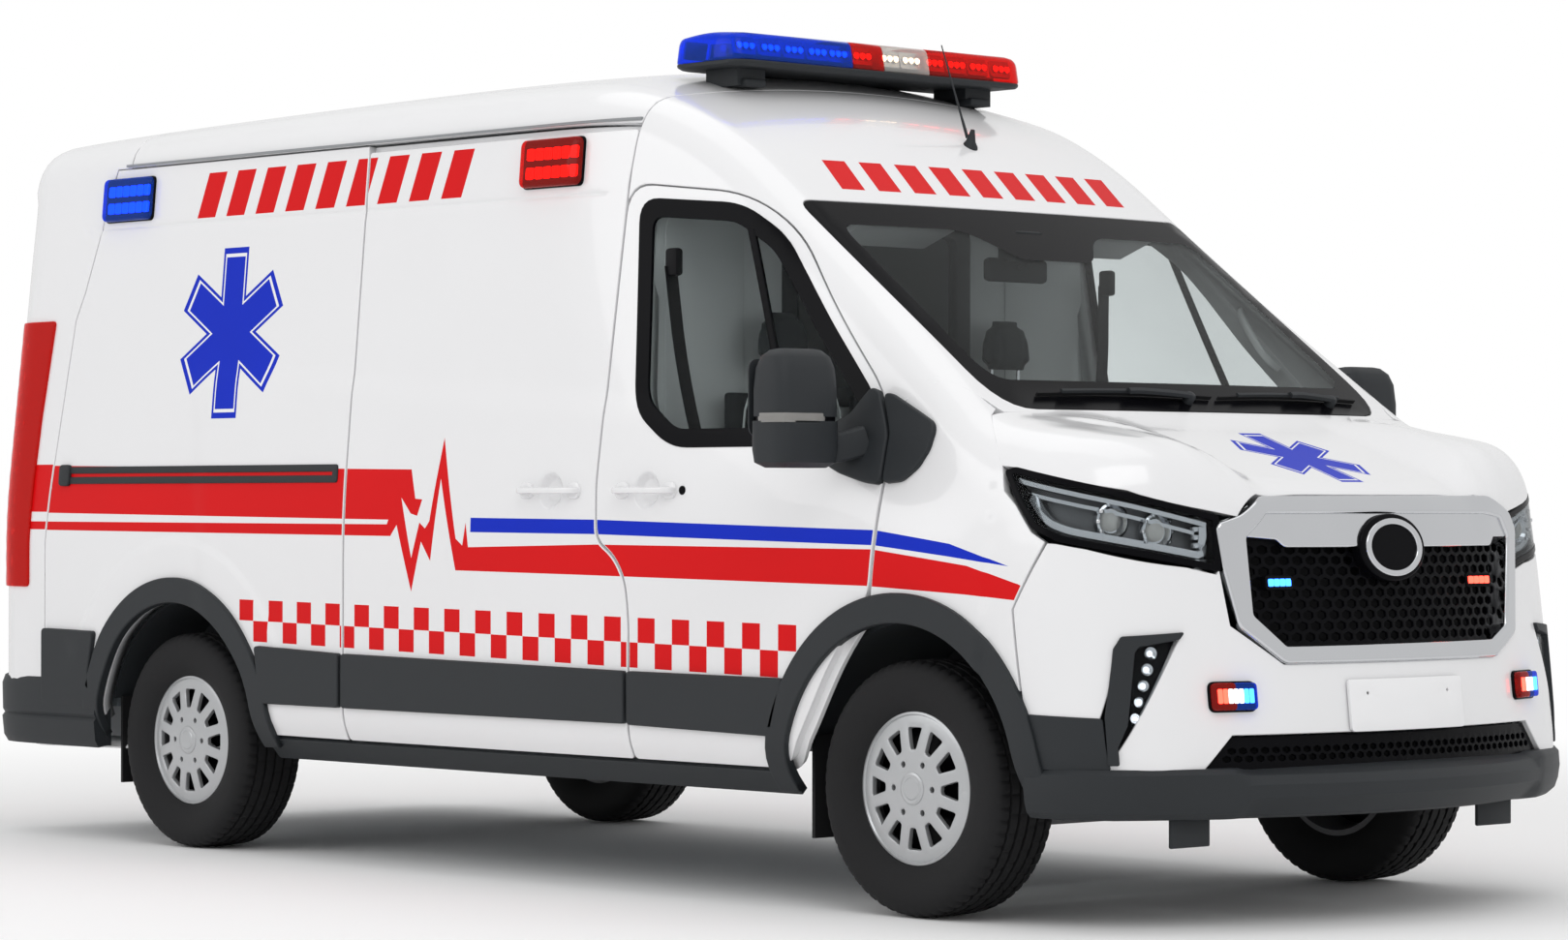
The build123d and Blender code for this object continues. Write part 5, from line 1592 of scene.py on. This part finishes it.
# ---- warning lights: roof bar and side beacons ----
BAR_X, BAR_HIGH, BAR_HALF = 500.0, 2515.0, 600
# columns: from y, to y, lens material number
BAR_MODULES = ((-BAR_HALF, -130, 0), (-130, 0, 1), (0, 191, 2), (191, BAR_HALF, 1))
# distances from the middle and how much the lens is smaller there, towards an end
BAR_END = [(540, 0), (570, 5), (588, 14), (597, 28), (BAR_HALF, 44)]
bar = Shapes()


def bar_loop(y, shrink):
    """The bar's cross-section at y: flat floor, sloping sides, gently crowned top."""
    z_low = 2422.0
    half, high = 150 - shrink, BAR_HIGH - shrink * 0.45
    corners = [(-half, z_low), (half, z_low), (half - 14, high - 12), (0, high + 1), (-half + 14, high - 12)]
    pts = rounded(corners, [10, 10, 24, 60, 24], 5)
    return [(BAR_X + x, y, min(z, BAR_HIGH)) for x, z in pts[::-1]]


for y0, y1, lens in BAR_MODULES:
    # the joint between two lenses is a notch, and the bar's ends are rounded off
    first = [(y0 + 1.2, 2.5), (y0 + 4, 0)]
    last = [(y1 - 4, 0), (y1 - 1.2, 2.5)]
    if y0 == -BAR_HALF:
        first = [(-y, s) for y, s in BAR_END[::-1]]
    if y1 == BAR_HALF:
        last = BAR_END
    bar.loft([bar_loop(y, s) for y, s in first + [((y0 + y1) / 2, 0)] + last], lens)
bar.make("roof_bar_lenses", ["lens_blue", "lens_red", "lens_frost"], node="light_bar_lens", sharp=40)
core = Shapes()
MODULE_YS = (-540, -440, -345, -250, -165, -65, 50, 140, 240, 335, 430, 530)
for y in MODULE_YS:
    mark = 0 if y < -130 else 2 if 0 < y < 191 else 1
    for side in (-1, 1):
        x = BAR_X + side * 112
        v = PlaneView((x, y, 2466), (0, side, 0), (-side * 0.25, 0, 0.968))
        core.plate(v, round_rect((-40, -25), (40, 25), 5), spacing=60, mark=3)
        for j in range(3):
            at = (x + side * 2, y - 25 + 25 * j, 2466)
            core.lathe([(0, 0), (11, 0), (12, 5), (8, 3), (0, 2)], at, (side, 0, 0.2), 14, 3)
            core.lathe([(0, 2), (9.5, 2), (7, 8), (0, 11)], at, (side, 0, 0.2), 10, mark)
core.block((BAR_X - 96, -520, 2424), (BAR_X + 96, 520, 2440), 4, 4)
core.block((BAR_X - 30, -540, 2436), (BAR_X + 30, 540, 2480), 6, 3)
core.make("roof_bar_diodes", ["led_blue", "led_red", "led_amber", "bright", "trim"], slot="lamp_blue", sharp=40)


def tray_loop(y, shrink):
    """The tray's cross-section at y, smaller by shrink."""
    wide, narrow, low = 150 - shrink, 138 - shrink, 2404 + shrink * 0.2
    corners = [(-narrow, low), (narrow, low), (wide, 2414), (wide, 2423), (-wide, 2423), (-wide, 2414)]
    return [(BAR_X + x, y, z) for x, z in rounded(corners, 4, 3)[::-1]]


tray = Shapes()
tray_ends = [(600, 40), (590, 18), (570, 6), (540, 0)]
tray.loft([tray_loop(-y, s) for y, s in tray_ends] + [tray_loop(y, s) for y, s in tray_ends[::-1]])
for side in (-1, 1):
    tray.loft([[(BAR_X + x, side * y, z) for x, z in [(-70, z0), (-70, z1), (70, z1), (70, z0)][::side]]
              for y, z0, z1 in ((420, 2372, 2408), (480, 2360, 2408), (530, 2352, 2408))])
    tray.block((BAR_X - 88, side * 470 - 42, 2350), (BAR_X + 88, side * 470 + 42, 2374), 7)
tray.make("roof_bar_tray", ["trim"], node="light_bar_base")


def beacon(name, centre_x, colour, mirror, node=None):
    """A flat lamp near the gutter: base, lens and two rows of diodes."""
    s = Shapes()
    low, high = (centre_x - 133, 2052), (centre_x + 133, 2192)
    s.plate(SIDE, round_rect(low, high, 16), depth=14, roll=4, spacing=50, level=8)
    s.plate(SIDE, round_rect((low[0] + 8, low[1] + 8), (high[0] - 8, high[1] - 8), 14), depth=24, roll=9,
            spacing=40, level=27, mark=1)
    for j in range(6):
        for z in (2094, 2150):
            s.plate(SIDE, round_rect((centre_x - 112 + 40 * j, z - 16), (centre_x - 84 + 40 * j, z + 16), 5),
                    depth=6, roll=1.5, spacing=40, level=15, mark=2)
    s.make(name, ["gloss_black", "lens_" + colour, "led_" + colour], slot="lamp_blue", node=node, mirror=mirror,
           sharp=38)


beacon("beacon_rear_right", -1995, "blue", False, "warning_lamps")
beacon("beacon_front_right", 198, "red", False)
beacon("beacon_rear_left", -1995, "blue", True)
beacon("beacon_front_left", 198, "red", True)

# ---- rear: bumper, lamps, hinges, handle ----
rear_path = [(-2062, -1024), (-2300, -1024), (-2560, -1022), (-2690, -985), (-2755, -900), (-2772, -760)]
rear_path = [(x, y, 0) for x, y in soften(rear_path, 2)] + [(-2772, 0, 0)]
rear_path += over_middle(rear_path[::-1][1:])
REAR_SECTION = [(-52, 312), (-20, 306), (-6, 330), (0, 392), (-9, 404), (-2, 416), (0, 505), (-10, 532),
                (-40, 546), (-66, 548), (-70, 312)]
rear_bumper = Shapes()
rear_bumper.sweep(rear_path[::-1], REAR_SECTION)
for y0 in (-640, 400):
    rear_bumper.block((-2773, y0, 440), (-2766, y0 + 240, 486), 3, 1)
rear_bumper.make("rear_bumper_cover", ["trim", "lens_red"], node="rear_bumper", sharp=26)

TAIL_R = 1000.0
TAIL = DrumView(-2300.0, TAIL_R)
tail_edge = side_points(dense([(-2468, 836), (-2468, 990), (-2432, 1400), (-2388, 1728)], 40, closed=False))
tail_back = REAR_FACE.place(dense([(874.0, 1728.0), (874.0, 836.0)], 40, closed=False))[0]
tail_loop = TAIL.flat(list(tail_edge) + [(x, -abs(y), z) for x, y, z in tail_back])
tail_loop = np.where(tail_loop[:, :1] > 0, tail_loop - (2 * pi * TAIL_R, 0), tail_loop)
REVERSING = [(-3300, 1180), (-2300, 1180), (-2300, 1300), (-3300, 1300)]   # band over the arc
panel("tail_lamp_right", TAIL, rounded(inset(tail_loop, 3), 12, 3), ["lens_red", "lens_frost"],
      node="tail_lamps", spacing=40, level=9, depth=16, roll=5, regions=[(np.array(REVERSING, float), 1)])
panel("tail_lamp_seat_right", TAIL, rounded(inset(tail_loop, 1), 12, 3), ["bright"], slot="bright_chrome",
      spacing=60, level=1.5, depth=10, roll=1)

rear_fittings = Shapes()
for z in (720, 1340, 1960):
    at = REAR_FACE.place([(852.0, z)])[0][0]
    rear_fittings.lathe([(0, -38), (9, -38), (9, 38), (0, 38)], (at[0] - 9, -852, z), (0, 0, 1), 16)
    rear_fittings.plate(REAR_FACE, round_rect((770, z - 24), (848, z + 24), 8), depth=8, level=7, spacing=40)
rear_fittings.both("rear_hinges_right", ["paint"], "rear_door_r")
latch = Shapes()
latch.plate(REAR_FACE, round_rect((30, 1010), (240, 1082), 18), depth=8, level=4, spacing=60)
latch.plate(REAR_FACE, round_rect((44, 1024), (226, 1068), 12), depth=16, roll=6, level=22, spacing=60, mark=1)
latch.make("rear_latch", ["trim", "gloss_black"], "rear_door_r")
rear_plate = Shapes()
rear_plate.plate(REAR_FACE, round_rect((-560, 640), (-70, 790), 12), depth=8, level=3, spacing=60)
rear_plate.plate(REAR_FACE, round_rect((-548, 652), (-82, 778), 10), depth=6, level=7, spacing=60, mark=1)
rear_plate.make("rear_blank_plate", ["trim", "decal_white"], "rear_door_l", slot="paint_white")
high_lamp = Shapes()
high_lamp.plate(REAR, REAR.flat(REAR_FACE.place(round_rect((-150, 2262), (150, 2292), 12))[0]), roll=3, level=7,
                spacing=40)
high_lamp.make("high_stop_lamp", ["lens_red"])

# ---- cab: padded seats, dashboard, wheel, bulkhead, mirror, handle ----
PAD_EDGE, PAD_VOXEL, PAD_SWELL, PAD_FILL = 38, 11.0, 16, 0.75
CLOTH_FRAMES = 20


def positions(mesh):
    """A mesh's points, as a table."""
    out = np.empty(len(mesh.vertices) * 3)
    mesh.vertices.foreach_get("co", out)
    return out.reshape(-1, 3)


def settled(obj):
    """A new mesh with the object's modifiers in it, which are then taken off."""
    mesh = bpy.data.meshes.new_from_object(obj.evaluated_get(bpy.context.evaluated_depsgraph_get()))
    obj.modifiers.clear()
    return mesh


def pad(name, low, high, lean=0.0, crown=(0.9, 0.86), node=None):
    """A padded form: a rounded block, swollen as cloth under pressure, leaning back by an angle."""
    bm = bmesh.new()
    bmesh.ops.create_cube(bm, size=1.0)
    size = np.array(high, float) - np.array(low, float)
    middle = (np.array(high, float) + np.array(low, float)) / 2
    for v in bm.verts:
        k = crown if v.co.z > 0 else (1.0, 1.0)
        v.co = Vector((v.co.x * size[0] * k[0], v.co.y * size[1] * k[1], v.co.z * size[2]))
    bmesh.ops.bevel(bm, geom=bm.edges[:], offset=min(PAD_EDGE, min(size) * 0.42), segments=5, affect="EDGES")
    mesh = bpy.data.meshes.new(name)
    for v in bm.verts:
        v.co = v.co * MM
    bm.to_mesh(mesh)
    bm.free()
    obj = bpy.data.objects.new(name, mesh)
    scene.collection.objects.link(obj)
    remesh = obj.modifiers.new("voxels", "REMESH")
    remesh.mode = "VOXEL"
    remesh.voxel_size = PAD_VOXEL * MM
    fine = settled(obj)
    obj.data = fine
    rest = positions(fine)
    cloth = obj.modifiers.new("cloth", "CLOTH")
    cloth.settings.use_pressure = True
    cloth.settings.uniform_pressure_force = 4.0
    cloth.settings.effector_weights.gravity = 0.0
    cloth.point_cache.frame_start, cloth.point_cache.frame_end = 1, CLOTH_FRAMES
    for k in range(1, CLOTH_FRAMES + 1):
        scene.frame_set(k)
    move = positions(settled(obj)) - rest
    far = np.linalg.norm(move, axis=1)[:, None]
    rest = rest + move * np.minimum(1.0, PAD_SWELL * MM / np.maximum(far, 1e-9))
    scene.frame_set(1)
    # sewn channels: two along the length of the pad, pressed into its upper or front face
    pressed = 2 if abs(lean) < 0.01 else 0
    for line in (-0.42, 0.42):
        d = np.abs(rest[:, 1] - line * (size[1] / 2 * MM))
        rest[:, pressed] -= np.where(rest[:, pressed] > 0, 5.0 * MM * np.exp(-(d / (7 * MM)) ** 2), 0)
    ca, sa = cos(lean), sin(lean)
    turned = np.stack([rest[:, 0] * ca - rest[:, 2] * sa, rest[:, 1], rest[:, 0] * sa + rest[:, 2] * ca], 1)
    fine.vertices.foreach_set("co", (turned + middle * MM).ravel())
    fine.polygons.foreach_set("use_smooth", [True] * len(fine.polygons))
    fine.materials.clear()
    fine.materials.append(materials["cloth"])
    fine.update()
    subdivide = obj.modifiers.new("smooth", "SUBSURF")
    subdivide.levels = subdivide.render_levels = 1
    obj.data = settled(obj)
    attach(obj, "body")
    if node:
        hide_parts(node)


def circle(radius, count):
    """A closed section round the path of a sweep."""
    return [(radius * cos(a), radius * sin(a)) for a in np.linspace(0, 2 * pi, count + 1)[:-1]]


def seat(tag, centre_y, width, node):
    """Cushion, back and headrest on a plastic base, inside the space of the seat's solid."""
    half = width / 2
    low, high = centre_y - half, centre_y + half
    pad("seat_cushion_" + tag, (722, low + 22, 802), (1200, high - 22, 898), node=node)
    pad("seat_back_" + tag, (682, low + 22, 930), (762, high - 22, 1478), lean=0.06, crown=(0.8, 0.72))
    pad("seat_head_" + tag, (682, centre_y - 112, 1522), (748, centre_y + 112, 1682), lean=0.04,
        crown=(0.8, 0.78))
    s = Shapes()
    s.block((772, low + 30, 472), (1168, high - 30, 640), 16)
    s.block((742, low + 12, 640), (1196, high - 12, 792), 24)
    s.block((664, low + 40, 800), (690, high - 40, 1440), 10)
    s.make("seat_base_" + tag, ["cab_dark"])
    posts = Shapes()
    for y in (centre_y - 58, centre_y + 58):
        posts.rod([(714, y, 1440), (712, y, 1500), (712, y, 1560)], 6, 10)
    posts.make("seat_posts_" + tag, ["chrome"], sharp=40)
    # a sewn cord round the back, as a rounded rectangle that closes on itself
    cord = Shapes()
    cord_path = []
    for across, up in circle(1, 40):
        k = (abs(across) ** 5 + abs(up) ** 5) ** (-0.2)
        cord_path.append((758, centre_y + across * k * (half - 34), 1204 + up * k * 262))
    cord.sweep(cord_path, circle(3.5, 6), closed=True)
    cord.make("seat_piping_" + tag, ["cab_grey_and_painted_light"], slot="seat_fabric", sharp=60)


seat("driver", 450, 500, "driver_seat")
seat("outer", -480, 460, "passenger_seats")
seat("middle", -10, 400, "passenger_seats")

# dashboard: a moulded top that falls to a lower tray, with a binnacle, screen and vents
dash = Shapes()
DASH = [(1660, 1000), (1660, 1262), (1610, 1290), (1520, 1284), (1452, 1250), (1424, 1190), (1440, 1120),
        (1476, 1040), (1482, 930), (1520, 905), (1640, 905)]
ys = np.linspace(-845, 845, 40)
dash.loft([[(x + 10 * (y / 845) ** 2, y, z - 14 * (y / 845) ** 4) for x, z in DASH] for y in ys])
dash.block((1412, 250, 1176), (1560, 650, 1304), 34)
dash.block((1404, 300, 1190), (1420, 600, 1270), 10, 1)
dash.block((1398, -150, 1080), (1440, 120, 1240), 12)
dash.block((1392, -138, 1092), (1402, 108, 1228), 4, 1)
for y in (-780, -250, 190, 700):
    dash.block((1412, y - 60, 1176), (1440, y + 60, 1232), 12)
    for k in range(4):
        dash.block((1406, y - 50, 1184 + 12 * k), (1416, y + 50, 1188 + 12 * k), 1.5, 1)
dash.block((1648, -500, 444), (1676, 500, 905), 10)
dash.make("dashboard_top", ["cab_dark", "gloss_black"], node="dashboard", sharp=32)

wheel_at = np.array((1250.0, 450.0, 1290.0))
tilt_axis = np.array((-cos(radians(30)), 0, sin(radians(30))))
up_axis = np.cross(tilt_axis, (0, 1, 0))
wheel = Shapes()
rim_path = [wheel_at + 187 * (c * np.array((0, 1.0, 0)) + s * up_axis) for c, s in circle(1, 60)]
wheel.sweep(rim_path, circle(13, 12), up=tuple(tilt_axis), closed=True)
wheel.lathe([(0, -12), (52, -12), (60, -4), (58, 8), (44, 13), (0, 14)], wheel_at, tilt_axis, 36)
for a in (0, pi, -pi / 2):
    d = cos(a) * np.array((0, 1.0, 0)) + sin(a) * up_axis
    wheel.sweep([wheel_at + d * t for t in (40, 90, 140, 184)], oblong(18, 6), up=tuple(tilt_axis),
                scale=[1.3, 1.0, 0.9, 0.8])
wheel.make("steering_wheel_rim", ["cab_dark"], "steering_control", node="steering_wheel", sharp=36)

wall = Shapes()
wall_outer = [(-925, 474), (925, 474), (945, 700), (940, 1400), (880, 2050), (800, 2230), (600, 2290),
              (0, 2300), (-600, 2290), (-800, 2230), (-880, 2050), (-940, 1400), (-945, 700)]
wall_hole = round_rect((-350, 1450), (350, 1950), 50)
WALL_VIEW = PlaneView((615, 0, 0), (0, 1, 0), (0, 0, 1))
wall.plate(WALL_VIEW, [(y * 0.985, z) for y, z in wall_outer], depth=28, roll=3, spacing=120, holes=[wall_hole])
wall.plate(WALL_VIEW, round_rect((-388, 1412), (388, 1988), 70), depth=40, roll=5, spacing=60, level=7,
           holes=[round_rect((-338, 1462), (338, 1938), 44)], mark=1)
wall.plate(WALL_VIEW, round_rect((-345, 1455), (345, 1945), 46), depth=4, roll=1, spacing=100, level=-12,
           mark=2)
for y in (-700, 700):
    wall.plate(WALL_VIEW, round_rect((y - 150, 620), (y + 150, 1960), 60), depth=4, roll=3, spacing=90, level=4)
wall.make("bulkhead_lining", ["cab_grey_and_painted_light", "trim", "glass"], node="bulkhead", sharp=30)

fit = Shapes()
mirror_at = off_skin(SCREEN, [(0, 1880)], -30)[0]
fit.rod([mirror_at, mirror_at + (-30, 0, -30), mirror_at + (-66, 0, -50)], 8, 10)
fit.block(mirror_at + (-92, -125, -92), mirror_at + (-62, 125, -22), 14)
fit.block(mirror_at + (-94, -116, -84), mirror_at + (-90, 116, -30), 1.5, 1)
sensor_low = off_skin(SCREEN, [(0, 1900)], -62)[0] - (50, 60, 30)
sensor_high = off_skin(SCREEN, [(0, 1900)], -10)[0] + (0, 60, 20)
fit.block(sensor_low, sensor_high, 12)
for side in (-1, 1):
    grip = soften([(1360, side * 812, 1700), (1378, side * 782, 1690), (1450, side * 772, 1600),
                   (1486, side * 784, 1548), (1502, side * 818, 1520)], 2)
    fit.sweep(grip, round_rect((-9, -12), (9, 12), 7, 3), mark=2)
    belt = [(700, side * 905, 1800), (720, side * 880, 1500), (740, side * 800, 1180), (760, side * 730, 900)]
    fit.sweep(soften(belt, 2), oblong(23, 1.2), up=(1, 0, 0.2), mark=3)
    fit.block((690, side * 905 - 16, 1770), (740, side * 905 + 16, 1850), 10, 3)
    visor = off_skin(SCREEN, [(side * 420, 1930)], -40)[0]
    fit.block(visor + (-150, -190, -14), visor + (10, 190, 8), 8, 2, tilt=-0.35)
fit.make("cab_fittings", ["cab_dark", "chrome", "cab_grey_and_painted_light", "seal"], slot="cabin_plastic")

for tag, ride_on, side in (("right", "front_door_r", -1), ("left", "front_door_l", 1)):
    card = Shapes()
    y = side * 905
    low_y, high_y = sorted((y, y - side * 40))
    rest_low, rest_high = sorted((y - side * 30, y - side * 62))
    card.block((720, low_y, 1020), (1480, high_y, 1110), 20)
    card.block((900, rest_low, 1090), (1240, rest_high, 1130), 14)
    card.block((760, low_y, 470), (1280, high_y, 620), 22, 1)
    card.make("door_card_" + tag, ["cab_dark", "cab_grey_and_painted_light"], ride_on)

# ---- finishes of the CAD nodes that show as they are ----
slot_of = {part["node"]: part["material_slot"] for part in frame["record"]["subparts"]}
for name, obj in frame["nodes"].items():
    obj.data.materials.clear()
    obj.data.materials.append(materials[FINISH.get(slot_of.get(name), "trim")])

# ---- floor, light and world ----
# the world is full white to the camera, straight on or through glass, and dimmer to everything else
world = bpy.data.worlds.new("world")
scene.world = world
world.use_nodes = True
tree = world.node_tree
rays = add_node(tree, "LightPath", {}).outputs
seen = add_node(tree, "Math", {0: rays["Is Camera Ray"], 1: rays["Is Transmission Ray"]}, operation="MAXIMUM")
level = add_node(tree, "MapRange", {"To Min": 0.78, "To Max": 1.0, "Value": seen.outputs[0]})
plug(tree, tree.nodes["Background"], {"Color": (1, 1, 1, 1), "Strength": level.outputs["Result"]})

# the floor takes shadow near the object, and far from it is full white to the camera
FLOOR_HALF = 40
floor_mesh = bpy.data.meshes.new("floor")
floor_corners = [(x * FLOOR_HALF, y * FLOOR_HALF, -0.001) for x, y in ((-1, -1), (1, -1), (1, 1), (-1, 1))]
floor_mesh.from_pydata(floor_corners, [], [(0, 1, 2, 3)])
floor = bpy.data.objects.new("floor", floor_mesh)
scene.collection.objects.link(floor)
tree, shader = new_material("floor")
plug(tree, shader, {"Base Color": (0.92, 0.92, 0.92, 1), "Roughness": 0.9})
place = add_node(tree, "NewGeometry", {}).outputs["Position"]
away = add_node(tree, "VectorMath", {0: place}, operation="LENGTH").outputs["Value"]
far = add_node(tree, "MapRange", {"From Min": 3.0, "From Max": 9.0, "Value": away},
               interpolation_type="SMOOTHSTEP")
camera_ray = add_node(tree, "LightPath", {}).outputs["Is Camera Ray"]
share = add_node(tree, "Math", {0: far.outputs["Result"], 1: camera_ray}, operation="MULTIPLY")
white = add_node(tree, "Emission", {"Color": (1, 1, 1, 1)})
mix = add_node(tree, "MixShader", {0: share.outputs[0], 1: shader.outputs[0], 2: white.outputs[0]})
plug(tree, tree.nodes["Material Output"], {"Surface": mix.outputs[0]})
floor_mesh.materials.append(materials["floor"])


def area_light(name, at, target, size, power):
    """A rectangular lamp at a place, turned towards a target."""
    data = bpy.data.lights.new(name, "AREA")
    data.shape = "RECTANGLE"
    data.size, data.size_y = size
    data.energy = power
    obj = bpy.data.objects.new(name, data)
    scene.collection.objects.link(obj)
    obj.location = at
    obj.rotation_euler = (Vector(target) - Vector(at)).to_track_quat("-Z", "Y").to_euler()


area_light("key", (7, -4, 7), (0.5, 0, 1), (6, 4), 150)
area_light("side", (-3, -9, 5), (-0.5, 0, 1.2), (8, 4), 130)
area_light("top", (0, 0, 8), (0, 0, 0), (9, 5), 90)
